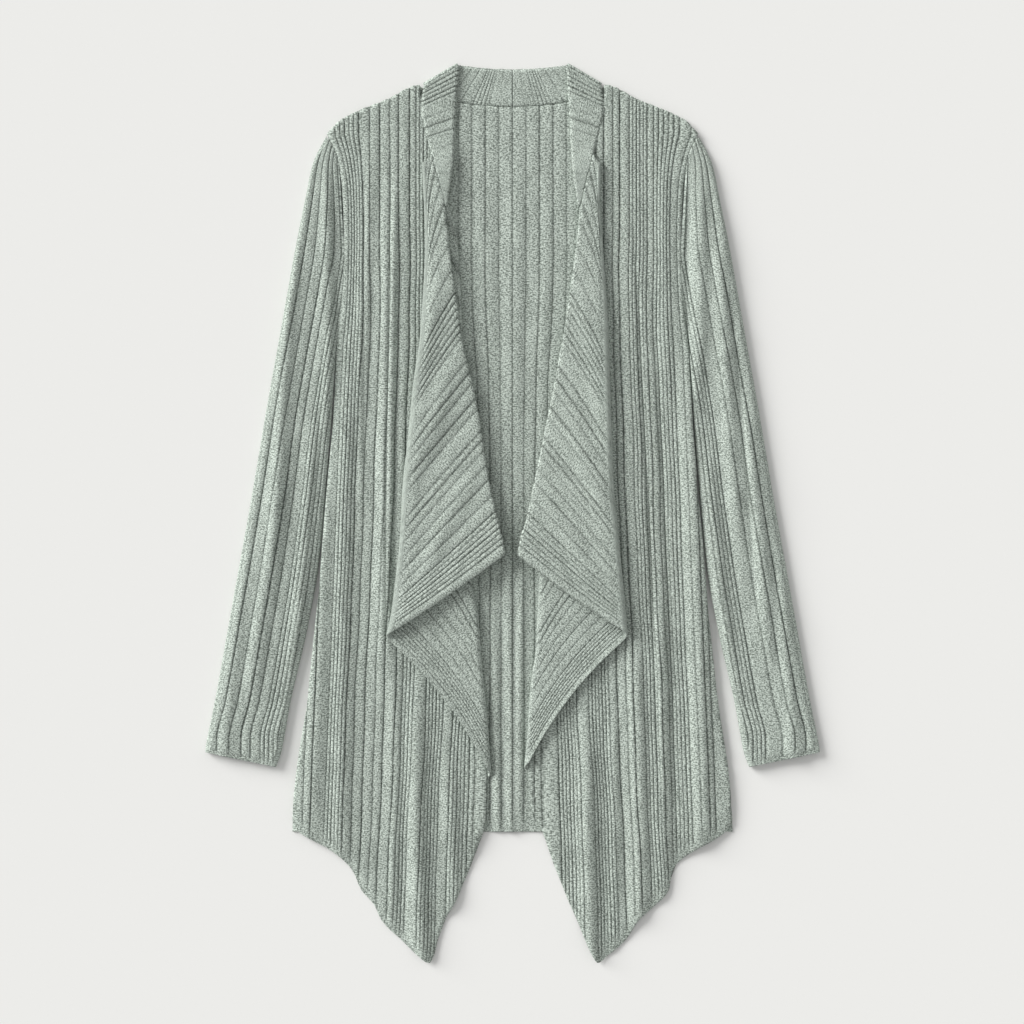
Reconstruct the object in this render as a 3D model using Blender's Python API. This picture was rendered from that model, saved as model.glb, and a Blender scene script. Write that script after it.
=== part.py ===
"""A waterfall cardigan in rib knit, laid flat with its cascade fronts folded open.

Run in Blender 4.5. Sizes below are in millimetres; the frame is +X to the viewer's
right, +Y towards the neck and +Z up from the surface that it lies on. The origin is
on that surface, under the middle of the garment.
Each piece of cloth is a closed wall with an outer face that carries the raised ribs.
"""

import math

import bmesh
import bpy
import numpy as np

MM = 0.001
HALVINGS = 40

# The cloth and the way that its layers lie.
WALL = 1.8
SEAM_GAP = 0.9
LAYER_GAP = 1.0
RIB_HEIGHT = 0.6
BACK_MID = WALL / 2
FRONT_MID = BACK_MID + WALL + LAYER_GAP

# The knit repeats blocks of narrow ribs and of wide ones.
NARROW_RIB = 3.6
WIDE_RIB = 11.4
RIB_FLAT = 0.3
PLAIN_PITCH = 34.0
ROW_PITCH = 80.0
SIDE_PITCH = 9.0
ARMHOLE_PITCH = 13.0

# The body, half width from the centre line. It is the same on both sides.
SHOULDER_TIP = (184.5, 379.0)
UNDERARM_Y = 168.0
COLUMN_LEAN = 0.02
ARMHOLE_EASE = 32.0
LEAN_FROM = 60.0
HEIGHT_LIMITS = (-470.0, -306.0, 460.0)
HEM_REACH = 60.0
EDGE_TRIM = 0.6
NECK_TURN = 92.4
SHOULDER_FOOT = 82.6


def table(names, *rows):
    """A short table as one array for each named column."""
    return {name: np.array(values, float) for name, values in zip(names.split(), zip(*rows))}


SHOULDER = table(
    "x y",
    (82.5, 366), (86.5, 378), (91.6, 407), (92.5, 427),
    (124.5, 413), (170.5, 393), SHOULDER_TIP,
)
ARMHOLE = table(
    "y x",
    (168, 174.5), (213, 169.5), (273, 167.5), (323, 169), (353, 174.5), (379, 184.5),
)
SIDE = table(
    "y x",
    (-307, 220.5), (-253, 214), (-187, 204), (-137, 198.5), (-51, 190.5),
    (33, 183.5), (113, 177), (168, 174.5),
)
BACK_NECK = table("x y", (0, 406), (30, 407), (57.5, 411.5), (80, 420), (92.5, 427))
BACK_HEM_Y = -319.0
SETTLE_Y = BACK_HEM_Y - 3
SETTLE_LENGTH = 34.0

# The fronts. The hem falls from the side to the point, then climbs the front edge.
RIGHT_HEM = table(
    "x y",
    (20, -292), (24, -307), (33.5, -327), (39.5, -347), (47.5, -367), (58.5, -392),
    (67.5, -407), (74.5, -427), (78.5, -442), (83, -450), (95.5, -442), (111.5, -427),
    (131.5, -407), (138.5, -392), (151.5, -377), (160.5, -357), (182.5, -337),
    (200.5, -327), (213.5, -319), (220.5, -307),
)
LEFT_HEM = table(
    "x y",
    (11, -274), (15.5, -286), (21.5, -300), (33.5, -327), (39.5, -347), (47.5, -367),
    (57.5, -392), (64.5, -407), (72.5, -427), (79.5, -442), (85.5, -450), (95.5, -443),
    (113.5, -427), (126.5, -407), (143.5, -392), (156.5, -377), (160, -357),
    (183.5, -337), (201.5, -327), (212.5, -319), (219.5, -307),
)

# The cascade of each front. The cloth runs in from the body to the inner fold, back out
# as a middle layer to the outer fold, and in again as the lapel to its free edge.
RIGHT_EDGE = table(
    "y x",
    (-42, 8), (-28, 10.2), (8, 19), (33, 24.5), (113, 37.5), (173, 51.5), (205, 55.8),
    (246, 62), (287, 66.5), (312, 69), (335, 74.5), (350, 79.5), (366, 82.5),
)
RIGHT_OUTER = table(
    "y x",
    (-122, 125.2), (-97, 120.5), (-65, 116.5), (-28, 112.5), (33, 109), (63, 105.5),
    (133, 98.5), (173, 92.5), (223, 89), (268, 87), (333, 89.5), (358, 90.5),
)
RIGHT_INNER = table(
    "y x",
    (-266, 21.3), (-222, 24), (-183, 27.7), (-145, 31.5), (-108, 34), (-65, 41),
    (63, 45.5), (173, 48.5), (221, 50.5), (282, 54.5), (308, 63), (335, 71), (366, 82.5),
)
RIGHT_COLUMNS = table(
    "edge outer inner",
    (358, 350, 335), (308, 272, 215), (246, 200, 118), (173, 118, 22),
    (113, 52, -58), (33, -38, -160), (-42, -122, -266),
)
LEFT_EDGE = table(
    "y x",
    (-43, 6), (-25, 8.5), (-10, 13.5), (23, 21), (93, 35.5), (183, 52.5), (273, 65.5),
    (310, 70), (335, 75), (350, 79.5), (366, 82.5),
)
LEFT_OUTER = table(
    "y x",
    (-121, 115), (-102, 113.3), (-43, 107.5), (-10, 104.5), (22, 101.3), (93, 98.5),
    (183, 95.5), (263, 90.5), (313, 87.5), (358, 88.5),
)
LEFT_INNER = table(
    "y x",
    (-260, 11.5), (-222, 14.9), (-196, 16.8), (-164, 19.5), (-139, 23.2), (-97, 25.5),
    (-57, 27), (60, 45), (173, 56), (221, 60), (308, 66), (335, 71), (366, 82.5),
)
LEFT_COLUMNS = table(
    "edge outer inner",
    (358, 350, 335), (308, 270, 215), (246, 196, 115), (173, 110, 12),
    (100, 30, -75), (30, -45, -165), (-43, -121, -260),
)
INNER_ROLL = 2.1
OUTER_ROLL = 3.6
OUTER_ROLL_START = 0.45
OUTER_FOLD_LIFT = 3.0
EDGE_LIFT = table("share lift", (0, 4.8), (0.08, 6.6), (0.17, 7.4), (0.6, 6.8), (1, 4.4))
MIDDLE_BOW = 0.05
BEND_STEPS = 4
CASCADE_COLUMNS = 13
LAYER_ROWS = 4

# Soft folds that run down the fronts to the hem: where each lies, how wide and how high.
DRAPE = table(
    "x width height start",
    (206, 9, 1.6, -150), (170, 11, 2.4, -60), (146, 9, 2.2, -120),
    (118, 10, 2.6, -150), (62, 9, 2.0, -240),
)

DRAPE_FADE = 140.0

# The sleeves, by where their two edges lie from the armhole to the cuff.
SLEEVE = table(
    "outer_x outer_y inner_x inner_y",
    (186.5, 377, 175.4, 167), (199.5, 350, 176.2, 158), (207.5, 313, 177.2, 145),
    (217.5, 263, 178.6, 125), (226.5, 213, 180.6, 96), (234.5, 168, 183.2, 62),
    (244.5, 113, 186.8, 20), (261.5, 13, 193.7, -51), (279.5, -87, 205, -115),
    (297.5, -187, 221.5, -187), (306, -229, 231.5, -240), (307.5, -239, 236.5, -254),
)
SLEEVE_FLAT = WALL + LAYER_GAP
SLEEVE_ROOM = 5.2
SLEEVE_FILL_BY = 0.3
SLEEVE_STRAIGHT_BY = 0.12
SLEEVE_STATIONS = 13
SLEEVE_PLAIN = 9
SLEEVE_SIDE_STEPS = 4

# The neckband, from its tip on one front, up over the shoulder line and round the back.
BAND_SEAM = table("y x", (311.5, 68.2), (335, 73.7), (350, 78.7), (366, 81.8), (378, 85.8),
                  (407, 90.9), (427.5, 88))
BAND_FREE = table("y x", (306, 66.4), (353, 60), (403, 57.5), (447.5, 54))
BAND_HEIGHT = table("y z", (306, 11.3), (335, 11), (350, 9.2), (366, 5.6), (385, 4.2),
                    (407, 4.2), (427, 5.2))
BAND_BACK_SEAM = table("x y", (0, 406.7), (30, 408), (57.5, 413), (75, 420.2), (88, 427.9))
BAND_BACK_TOP = table("x y", (0, 443), (30, 444.5), (54, 447.5))
BAND_FOLD_SEAM = (88, 427.5)
BAND_FOLD_FREE = (54, 447.5)
BAND_FOLD_OUT = (0.533, 0.846)
BAND_PLAIN = 8
BAND_ROWS = 4
BAND_BACK_PITCH = 15.0

# How many narrow and then how many wide ribs each piece shows, from its outer side.
RIGHT_BLOCKS = table("narrow wide", (0, 3), (6, 5), (5, 1), (6, 1), (7, 2))
LEFT_BLOCKS = table("narrow wide", (0, 2), (6, 1), (6, 1), (5, 2), (6, 1), (6, 1), (7, 2))
LAPEL_BLOCKS = table("narrow wide", (5, 2), (6, 2), (5, 3), (6, 1), (5, 2), (7, 0))
SLEEVE_BLOCKS = table("narrow wide", (6, 4), (2, 0))
BAND_BLOCKS = table("narrow wide", (6, 1), (6, 1), (5, 1), (6, 0))
BACK_SHOWN_HALF = 74.0
BACK_NECK_COLUMNS = (92.5, 84.0)

SAGE = (0.36, 0.43, 0.385, 1.0)
SAGE_SHADE = (0.27, 0.33, 0.29, 1.0)
CLOTH_ROUGHNESS = 0.9


def slopes(x, y):
    """Slopes for a cubic through the points that never overshoots them."""
    step = np.diff(x)
    rise = np.diff(y) / step
    slope = np.zeros(len(x))
    slope[0], slope[-1] = rise[0], rise[-1]
    for i in range(1, len(x) - 1):
        if rise[i - 1] * rise[i] > 0:
            slope[i] = 2 * rise[i - 1] * rise[i] / (rise[i - 1] + rise[i])
    return slope


def read(rows, key, value, at):
    """The value of a table's column at a place on its key column, on a smooth curve."""
    x, y = rows[key], rows[value]
    order = np.argsort(x)
    x, y = x[order], y[order]
    slope = slopes(x, y)
    at = np.clip(at, x[0], x[-1])
    i = np.clip(np.searchsorted(x, at) - 1, 0, len(x) - 2)
    h = x[i + 1] - x[i]
    t = (at - x[i]) / h
    a = (1 + 2 * t) * (1 - t) ** 2
    b = t * (1 - t) ** 2 * h
    c = t * t * (3 - 2 * t)
    d = t * t * (t - 1) * h
    return a * y[i] + b * slope[i] + c * y[i + 1] + d * slope[i + 1]


def ease(t):
    """A step from 0 to 1 that starts and ends softly."""
    t = np.clip(t, 0.0, 1.0)
    return t * t * (3 - 2 * t)


def spaced(start, end, pitch):
    """Evenly spaced places from start to end, both included."""
    count = max(1, round(abs(end - start) / pitch))
    return np.linspace(start, end, count + 1)


def rib_lines(blocks, start, end):
    """Pairs of a place and a rib height across a panel, fitted from start to end."""
    places, heights, at = [0.0], [0.0], 0.0
    for narrow, wide in zip(blocks["narrow"], blocks["wide"]):
        for _ in range(int(narrow)):
            places += [at + NARROW_RIB / 2, at + NARROW_RIB]
            heights += [1.0, 0.0]
            at += NARROW_RIB
        for _ in range(int(wide)):
            places += [at + WIDE_RIB * RIB_FLAT, at + WIDE_RIB * (1 - RIB_FLAT), at + WIDE_RIB]
            heights += [1.0, 1.0, 0.0]
            at += WIDE_RIB
    scaled = start + np.array(places) / at * (end - start)
    return list(zip(scaled, np.array(heights) * RIB_HEIGHT))


class Wall:
    """Points and triangles of one closed wall of cloth."""

    def __init__(self, side=1.0):
        self.side = side
        self.points = []
        self.faces = []

    def row(self, points):
        """Adds a line of points and returns their numbers. X grows away from the centre."""
        first = len(self.points)
        self.points += [(self.side * x * MM, y * MM, z * MM) for x, y, z in points]
        return list(range(first, len(self.points)))

    def join(self, a, b, closed=False):
        """Triangles between two lines of points, in step along their lengths."""
        if closed:
            a, b = a + a[:1], b + b[:1]
        along_a, along_b = self.progress(a), self.progress(b)
        i = j = 0
        while i < len(a) - 1 or j < len(b) - 1:
            i, j = self.step(a, b, i, j, along_a[i + 1] <= along_b[j + 1])

    def join_down(self, a, b):
        """Triangles between two columns that run down the garment, in step by height."""
        fall_a, fall_b = [[-self.points[i][1] for i in line] + [math.inf] for line in (a, b)]
        i = j = 0
        while i < len(a) - 1 or j < len(b) - 1:
            i, j = self.step(a, b, i, j, fall_a[i + 1] <= fall_b[j + 1])

    def bind(self, a, b, closed=False):
        """Triangles between two lines a wall's thickness apart, across the shorter way."""
        if closed:
            a, b = a + a[:1], b + b[:1]
        i = j = 0
        while i < len(a) - 1 or j < len(b) - 1:
            i, j = self.step(a, b, i, j, self.reach(a, i + 1, b, j) <= self.reach(b, j + 1, a, i))

    def step(self, a, b, i, j, on_a):
        if on_a:
            self.face(a[i], a[i + 1], b[j])
            return i + 1, j
        self.face(a[i], b[j + 1], b[j])
        return i, j + 1

    def progress(self, line):
        """How far along the line each point lies, from 0 to 1, and then a stop."""
        spots = np.array([self.points[i] for i in line])
        lengths = np.linalg.norm(np.diff(spots, axis=0), axis=1)
        along = np.concatenate([[0.0], np.cumsum(lengths)])
        return [*(along / along[-1]), math.inf]

    def reach(self, line, place, other, at):
        if place >= len(line):
            return math.inf
        return math.dist(self.points[line[place]], self.points[other[at]])

    def face(self, *corners):
        if len(set(corners)) == 3:
            self.faces.append(corners)

    def join_all(self, lines, closed=False):
        for a, b in zip(lines, lines[1:]):
            self.join(a, b, closed)


def add_piece(name, wall, colour):
    """Makes a wall into an object with its own knit material."""
    shape = bmesh.new()
    corners = [shape.verts.new(point) for point in wall.points]
    for face in wall.faces:
        shape.faces.new([corners[i] for i in face])
    loose = [corner for corner in shape.verts if not corner.link_faces]
    bmesh.ops.delete(shape, geom=loose, context="VERTS")
    bmesh.ops.recalc_face_normals(shape, faces=shape.faces)
    mesh = bpy.data.meshes.new(name)
    shape.to_mesh(mesh)
    shape.free()
    mesh.shade_smooth()
    mesh.set_sharp_from_angle(angle=math.radians(50))
    material = bpy.data.materials.new(name + "_knit")
    material.use_nodes = True
    knit = material.node_tree.nodes["Principled BSDF"]
    knit.inputs["Base Color"].default_value = colour
    knit.inputs["Roughness"].default_value = CLOTH_ROUGHNESS
    knit.inputs["Metallic"].default_value = 0.0
    mesh.materials.append(material)
    piece = bpy.data.objects.new(name, mesh)
    garment.objects.link(piece)
    return piece


def column_x(place, y):
    """Where a rib line lies at a height: it follows the armhole and leans out below it."""
    if y >= UNDERARM_Y:
        near = max(0.0, 1 - (read(ARMHOLE, "y", "x", UNDERARM_Y) - place) / ARMHOLE_EASE)
        return place + near * (read(ARMHOLE, "y", "x", y) - read(ARMHOLE, "y", "x", UNDERARM_Y))
    return place + COLUMN_LEAN * ease(place / LEAN_FROM) * (UNDERARM_Y - y)


def place_of(x, y):
    """The rib line that runs through a point below the underarm."""
    low, high = 0.0, x
    for _ in range(HALVINGS):
        middle = (low + high) / 2
        if column_x(middle, y) < x:
            low = middle
        else:
            high = middle
    return (low + high) / 2


def meet(place, limit, low, high):
    """The height between low and high at which a rib line reaches an outline."""
    for _ in range(HALVINGS):
        middle = (low + high) / 2
        if limit(column_x(place, middle), middle):
            low = middle
        else:
            high = middle
    return (low + high) / 2


def column_heights(high, low, pitch=ROW_PITCH):
    """Heights down a column, with one just past the back's hem where it reaches that far."""
    if high < SETTLE_Y or low > SETTLE_Y - SETTLE_LENGTH / 4:
        return spaced(high, low, pitch)
    return np.concatenate([spaced(high, SETTLE_Y, pitch)[:-1],
                           spaced(SETTLE_Y, low, SETTLE_LENGTH)])


def body_panel(wall, lines, top, bottom, height, lift):
    """One face of a body panel as rib lines, and the lines of points along its outline."""
    edge = read(ARMHOLE, "y", "x", UNDERARM_Y)
    lowest, side_foot, highest = HEIGHT_LIMITS
    columns, upper = [], None
    for place, rib in lines:
        low = meet(place, lambda x, y: y < bottom(x), lowest, side_foot + HEM_REACH)
        if place > edge:
            high = meet(place, lambda x, y: x < read(SIDE, "y", "x", y), side_foot, UNDERARM_Y)
            heights = column_heights(high, low)
        else:
            high = meet(place, lambda x, y: y < top(x), side_foot, highest)
            cut = min(high, UNDERARM_Y)
            heights = column_heights(cut, low)
            if high > UNDERARM_Y:
                pitch = ARMHOLE_PITCH if upper is None else ROW_PITCH
                heights = np.concatenate([spaced(high, cut, pitch)[:-1], heights])
        xs = [column_x(place, y) for y in heights]
        column = wall.row([(x, y, height(x, y) + lift + rib) for x, y in zip(xs, heights)])
        if upper is None and place <= edge:
            split = int(np.argmin(np.abs(heights - UNDERARM_Y)))
            upper = (column[: split + 1], len(columns))
            if columns:
                wall.join_down(columns[-1], column[split:])
        elif columns:
            wall.join_down(columns[-1], column)
        columns.append(column)
    return columns, upper


def plain_places(widest, least, *fixed):
    """Places of the columns on a face without ribs, closer together at the side seam."""
    edge = float(read(ARMHOLE, "y", "x", UNDERARM_Y))
    places = {*spaced(widest, edge, SIDE_PITCH)[:-1], *spaced(edge, least, PLAIN_PITCH), *fixed}
    return sorted(map(float, places), reverse=True)


def outline_of(columns, upper):
    """The panel's outline in order: bottoms, then side, armhole and tops."""
    armhole, first = upper
    side = [column[0] for column in columns[:first]] + [armhole[-1]]
    tops = [column[0] for column in columns[first:]]
    return {"hem": [column[-1] for column in columns], "side": side,
            "armhole": armhole, "tops": tops, "corner": columns[0]}


def drape(x, y):
    """The height of the soft folds at a place on a front."""
    rise = 0.0
    for place, width, height, start in zip(*DRAPE.values()):
        rise += height * math.exp(-(((x - place) / width) ** 2)) * ease((start - y) / DRAPE_FADE)
    return rise


def front_height(x, y):
    """The middle of a front's wall: on the back, then down on the surface past its hem."""
    past = ease((SETTLE_Y - y) / SETTLE_LENGTH)
    return FRONT_MID + drape(x, y) - past * (FRONT_MID - BACK_MID)


def cascade_point(share, columns, edge, outer, inner):
    """The plan places on the free edge, the outer fold and the inner fold of one rib line."""
    at = np.linspace(0, 1, len(columns["edge"]))
    ys = [read({"s": at, "v": columns[name]}, "s", "v", share) for name in ("edge", "outer", "inner")]
    return [(float(read(rows, "y", "x", y)), float(y)) for rows, y in zip((edge, outer, inner), ys)]


def cascade_line(share, tables, face, rib):
    """One rib line of the cascade from the inner fold to the free edge, as rows of points."""
    (edge_x, edge_y), (outer_x, outer_y), (inner_x, inner_y) = cascade_point(share, *tables)
    half = face * WALL / 2
    roll = OUTER_ROLL * (OUTER_ROLL_START + (1 - OUTER_ROLL_START) * ease(4 * share))
    inner_mid = inner_x + INNER_ROLL + WALL / 2
    outer_mid = outer_x - roll - WALL / 2
    low = front_height(inner_mid, inner_y)
    bends, middle, lapel = [], [], []
    for step in range(1, BEND_STEPS):
        turn = -math.pi / 2 + math.pi * step / BEND_STEPS
        reach = INNER_ROLL - half
        bends.append((inner_mid - reach * math.cos(turn), inner_y,
                      low + INNER_ROLL + reach * math.sin(turn)))
    start = (inner_mid, inner_y, low + 2 * INNER_ROLL)
    rise = front_height(outer_x, outer_y) + OUTER_FOLD_LIFT
    end = (outer_mid, outer_y, rise)
    for t in np.linspace(0, 1, LAYER_ROWS):
        bow = MIDDLE_BOW * 4 * t * (1 - t)
        x = start[0] + (end[0] - start[0]) * t - bow * (end[1] - start[1])
        y = start[1] + (end[1] - start[1]) * t + bow * (end[0] - start[0])
        middle.append((x, y, start[2] + (end[2] - start[2]) * t - half))
    outer_bends = []
    for step in range(1, BEND_STEPS):
        turn = -math.pi / 2 + math.pi * step / BEND_STEPS
        reach = roll + half
        outer_bends.append((outer_mid + reach * math.cos(turn), outer_y,
                            rise + roll + reach * math.sin(turn)))
    top = rise + 2 * roll
    free = FRONT_MID + read(EDGE_LIFT, "share", "lift", share)
    for t in np.linspace(0, 1, LAYER_ROWS):
        lapel.append((outer_mid + (edge_x - outer_mid) * t, outer_y + (edge_y - outer_y) * t,
                      top + (free - top) * t + half + rib))
    return bends + middle + outer_bends, lapel


def cascade_face(wall, tables, face, lines):
    """The cascade's middle layer and lapel on one face of the cloth, as rows across it."""
    plain = np.linspace(0, 1, CASCADE_COLUMNS)
    under = list(zip(*[cascade_line(share, tables, face, 0.0)[0] for share in plain]))
    over = list(zip(*[cascade_line(share, tables, face, rib)[1] for share, rib in lines]))
    return [wall.row(points) for points in under] + [wall.row(points) for points in over]


def add_front(name, side, hem, blocks, tables, colour):
    """A front: its body layer, then the cascade that folds out of its inner edge."""
    wall = Wall(side)
    columns, edge, outer, inner = tables
    start_y, end_y = columns["inner"][0], columns["inner"][-1]
    meet_x = float(read(inner, "y", "x", start_y))
    mid = INNER_ROLL + WALL / 2
    widest = place_of(hem["x"][-1] - EDGE_TRIM, hem["y"][-1])
    least = place_of(read(inner, "y", "x", end_y) + mid, end_y)

    def bottom(x):
        return read(hem, "x", "y", x)

    def top(x):
        if x > SHOULDER["x"][0]:
            return read(SHOULDER, "x", "y", x)
        return read(inner, "x", "y", x - mid)

    def face_of(face, lines, lapel_lines):
        fixed = [float(read(ARMHOLE, "y", "x", UNDERARM_Y)), NECK_TURN, SHOULDER_FOOT,
                 meet_x + mid]
        spots = {place: rib for place, rib in lines}
        for place in fixed:
            near = min(spots, key=lambda spot: abs(spot - place))
            spots[place] = spots.pop(near)
        ordered = sorted(spots.items(), reverse=True)
        panel, upper = body_panel(wall, ordered, top, bottom, front_height, face * WALL / 2)
        outline = outline_of(panel, upper)
        first = [place for place, _ in ordered if place <= fixed[0]].index(meet_x + mid)
        tops, fold = outline["tops"][: first + 1], outline["tops"][first:]
        rows = [fold] + cascade_face(wall, (columns, edge, outer, inner), face, lapel_lines)
        wall.join_all(rows)
        outline.update(tops=tops, slit=[row[0] for row in rows], front=panel[-1],
                       edge=[row[-1] for row in rows], free=rows[-1])
        return outline

    outside = face_of(1, rib_lines(blocks, widest, least), rib_lines(LAPEL_BLOCKS, 0, 1))
    front_edge = spaced(least, least + PLAIN_PITCH, SIDE_PITCH)
    plain = [(place, 0.0) for place in plain_places(widest, least, *front_edge[:-1])]
    shares = [(share, 0.0) for share in np.linspace(0, 1, CASCADE_COLUMNS)]
    inside = face_of(-1, plain, shares)
    for border in outside:
        wall.bind(outside[border], inside[border])
    return add_piece(name, wall, colour)


def back_top(x):
    """The back panel's neckline and, outside it, its shoulder line."""
    if x < BACK_NECK["x"][-1]:
        return read(BACK_NECK, "x", "y", x)
    return read(SHOULDER, "x", "y", x)


def back_lines(face):
    """The back's rib lines from the side to the centre: raised only where the back shows."""
    widest = place_of(SIDE["x"][0] - EDGE_TRIM, SIDE["y"][0])
    lines = [(place, 0.0) for place in plain_places(widest, 0.0, *BACK_NECK_COLUMNS)]
    if face < 0:
        return lines
    ribs = round(BACK_SHOWN_HALF / WIDE_RIB)
    blocks = {"narrow": [0], "wide": [ribs]}
    return [line for line in lines if line[0] > BACK_SHOWN_HALF] + rib_lines(
        blocks, BACK_SHOWN_HALF, 0)


def add_back(name, colour):
    """The back: one panel lying flat, seen from its inner face through the open fronts."""
    wall = Wall()

    def face_of(face):
        outlines, lines = [], back_lines(face)
        for side, shown in ((1.0, lines), (-1.0, lines[:-1])):
            wall.side = side
            panel, upper = body_panel(
                wall, shown, back_top, lambda x: BACK_HEM_Y,
                lambda x, y: BACK_MID, face * WALL / 2)
            outlines.append(outline_of(panel, upper))
            outlines[-1]["inmost"] = panel[-1]
        wall.join(outlines[0]["inmost"], outlines[1]["inmost"])
        return outlines

    above, below = face_of(1), face_of(-1)
    for upper_half, lower_half in zip(above, below):
        for border in ("side", "armhole", "corner"):
            wall.bind(upper_half[border], lower_half[border])
    for border in ("hem", "tops"):
        wall.bind(*[half[0][border] + half[1][border][::-1] for half in (above, below)])
    return add_piece(name, wall, colour)


def body_edge(y):
    """How far the body reaches at a height: to the armhole, or below it to the side seam."""
    rows = ARMHOLE if y >= UNDERARM_Y else SIDE
    return read(rows, "y", "x", y) + SEAM_GAP


def sleeve_ring(share, face, top_lines):
    """One ring of a flattened sleeve, from its inner edge over the top and back below."""
    at = np.linspace(0, 1, len(SLEEVE["outer_x"]))
    outer_x, outer_y, inner_x, inner_y = [
        float(read({"s": at, "v": SLEEVE[name]}, "s", "v", share))
        for name in ("outer_x", "outer_y", "inner_x", "inner_y")]
    wide = math.dist((outer_x, outer_y), (inner_x, inner_y))
    height = SLEEVE_FLAT + (SLEEVE_ROOM - SLEEVE_FLAT) * ease(share / SLEEVE_FILL_BY)
    radius, half = height / 2, WALL / 2
    start, end = radius + half, wide - radius - half
    reach = radius + face * half
    ring = [(start + place * (end - start), half + height + face * half + rib)
            for place, rib in top_lines]
    for step in range(1, SLEEVE_SIDE_STEPS):
        turn = math.pi / 2 - math.pi * step / SLEEVE_SIDE_STEPS
        ring.append((end + reach * math.cos(turn), half + radius + reach * math.sin(turn)))
    ring += [(across, half - face * half) for across in np.linspace(end, start, SLEEVE_PLAIN)]
    for step in range(1, SLEEVE_SIDE_STEPS):
        turn = -math.pi / 2 - math.pi * step / SLEEVE_SIDE_STEPS
        ring.append((start + reach * math.cos(turn), half + radius + reach * math.sin(turn)))
    settled = ease(share / SLEEVE_STRAIGHT_BY)
    points = []
    for across, z in ring:
        x = inner_x + (outer_x - inner_x) * across / wide
        y = inner_y + (outer_y - inner_y) * across / wide
        points.append((x + (body_edge(y) - x) * (1 - settled), y, z))
    return points


def add_sleeve(name, side, colour):
    """A sleeve: one tube laid flat, open at the armhole and at the cuff."""
    wall = Wall(side)
    plain = [(place, 0.0) for place in np.linspace(0, 1, SLEEVE_PLAIN)]
    ends = []
    for face, lines in ((1, rib_lines(SLEEVE_BLOCKS, 0, 1)), (-1, plain)):
        rings = [wall.row(sleeve_ring(share, face, lines))
                 for share in np.linspace(0, 1, SLEEVE_STATIONS)]
        wall.join_all(rings, closed=True)
        ends.append((rings[0], rings[-1]))
    for outside, inside in zip(*ends):
        wall.bind(outside, inside, closed=True)
    return add_piece(name, wall, colour)


def band_across(seam, free):
    """Points across the band from its sewn edge to its free edge."""
    return [tuple(a + (b - a) * t for a, b in zip(seam, free))
            for t in np.linspace(0, 1, BAND_ROWS)]


def band_half(face, wedge_lines):
    """The band from one tip to the centre of the back neck, as rows across its width."""
    half = face * WALL / 2
    rows = []
    for share, rib in wedge_lines:
        seam_y = BAND_SEAM["y"][0] + (BAND_FOLD_SEAM[1] - BAND_SEAM["y"][0]) * share
        free_y = BAND_FREE["y"][0] + (BAND_FOLD_FREE[1] - BAND_FREE["y"][0]) * share
        seam = (read(BAND_SEAM, "y", "x", seam_y), seam_y,
                read(BAND_HEIGHT, "y", "z", seam_y) + half + rib)
        free = (read(BAND_FREE, "y", "x", free_y), free_y,
                read(BAND_HEIGHT, "y", "z", free_y) + half + rib)
        rows.append(band_across(seam, free))
    radius = (float(BAND_HEIGHT["z"][-1]) - BACK_MID) / 2
    for step in range(1, BEND_STEPS):
        turn = math.pi / 2 - math.pi * step / BEND_STEPS
        reach = (radius + half) * math.cos(turn)
        z = BACK_MID + radius + (radius + half) * math.sin(turn)
        rows.append(band_across(*[
            (x + BAND_FOLD_OUT[0] * reach, y + BAND_FOLD_OUT[1] * reach, z)
            for x, y in (BAND_FOLD_SEAM, BAND_FOLD_FREE)]))
    for share in spaced(0, 1, BAND_BACK_PITCH / BAND_FOLD_SEAM[0]):
        seam_x = BAND_FOLD_SEAM[0] * (1 - share)
        free_x = BAND_FOLD_FREE[0] * (1 - share)
        z = BACK_MID - half
        rows.append(band_across((seam_x, read(BAND_BACK_SEAM, "x", "y", seam_x), z),
                                (free_x, read(BAND_BACK_TOP, "x", "y", free_x), z)))
    return rows


def add_neckband(name, colour):
    """The neckband: one strip from tip to tip, folded over at the top of each front."""
    wall = Wall()
    plain = [(share, 0.0) for share in np.linspace(0, 1, BAND_PLAIN)]
    outlines = []
    for face, lines in ((1, rib_lines(BAND_BLOCKS, 0, 1)), (-1, plain)):
        half = band_half(face, lines)
        other = [[(-x, y, z) for x, y, z in row] for row in half[-2::-1]]
        rows = [wall.row(row) for row in half + other]
        wall.join_all(rows)
        outlines.append((rows[0], rows[-1], [row[0] for row in rows], [row[-1] for row in rows]))
    for outside, inside in zip(*outlines):
        wall.bind(outside, inside)
    return add_piece(name, wall, colour)


for old in list(bpy.data.objects):
    bpy.data.objects.remove(old, do_unlink=True)
garment = bpy.data.collections.new("waterfall_cardigan")
bpy.context.scene.collection.children.link(garment)

add_back("back", SAGE_SHADE)
add_front("front_right", -1.0, RIGHT_HEM, RIGHT_BLOCKS,
          (RIGHT_COLUMNS, RIGHT_EDGE, RIGHT_OUTER, RIGHT_INNER), SAGE)
add_front("front_left", 1.0, LEFT_HEM, LEFT_BLOCKS,
          (LEFT_COLUMNS, LEFT_EDGE, LEFT_OUTER, LEFT_INNER), SAGE)
add_sleeve("sleeve_right", -1.0, SAGE)
add_sleeve("sleeve_left", 1.0, SAGE)
add_neckband("neckband", SAGE)
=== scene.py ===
"""Looks of the waterfall cardigan: sage rib knit, laid flat with its fronts folded open.

Sizes are in millimetres until a mesh is made. X grows away from the centre line on both
sides, Y runs from the hem to the neck and Z up from the surface that the knit lies on.
"""

import math

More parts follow.
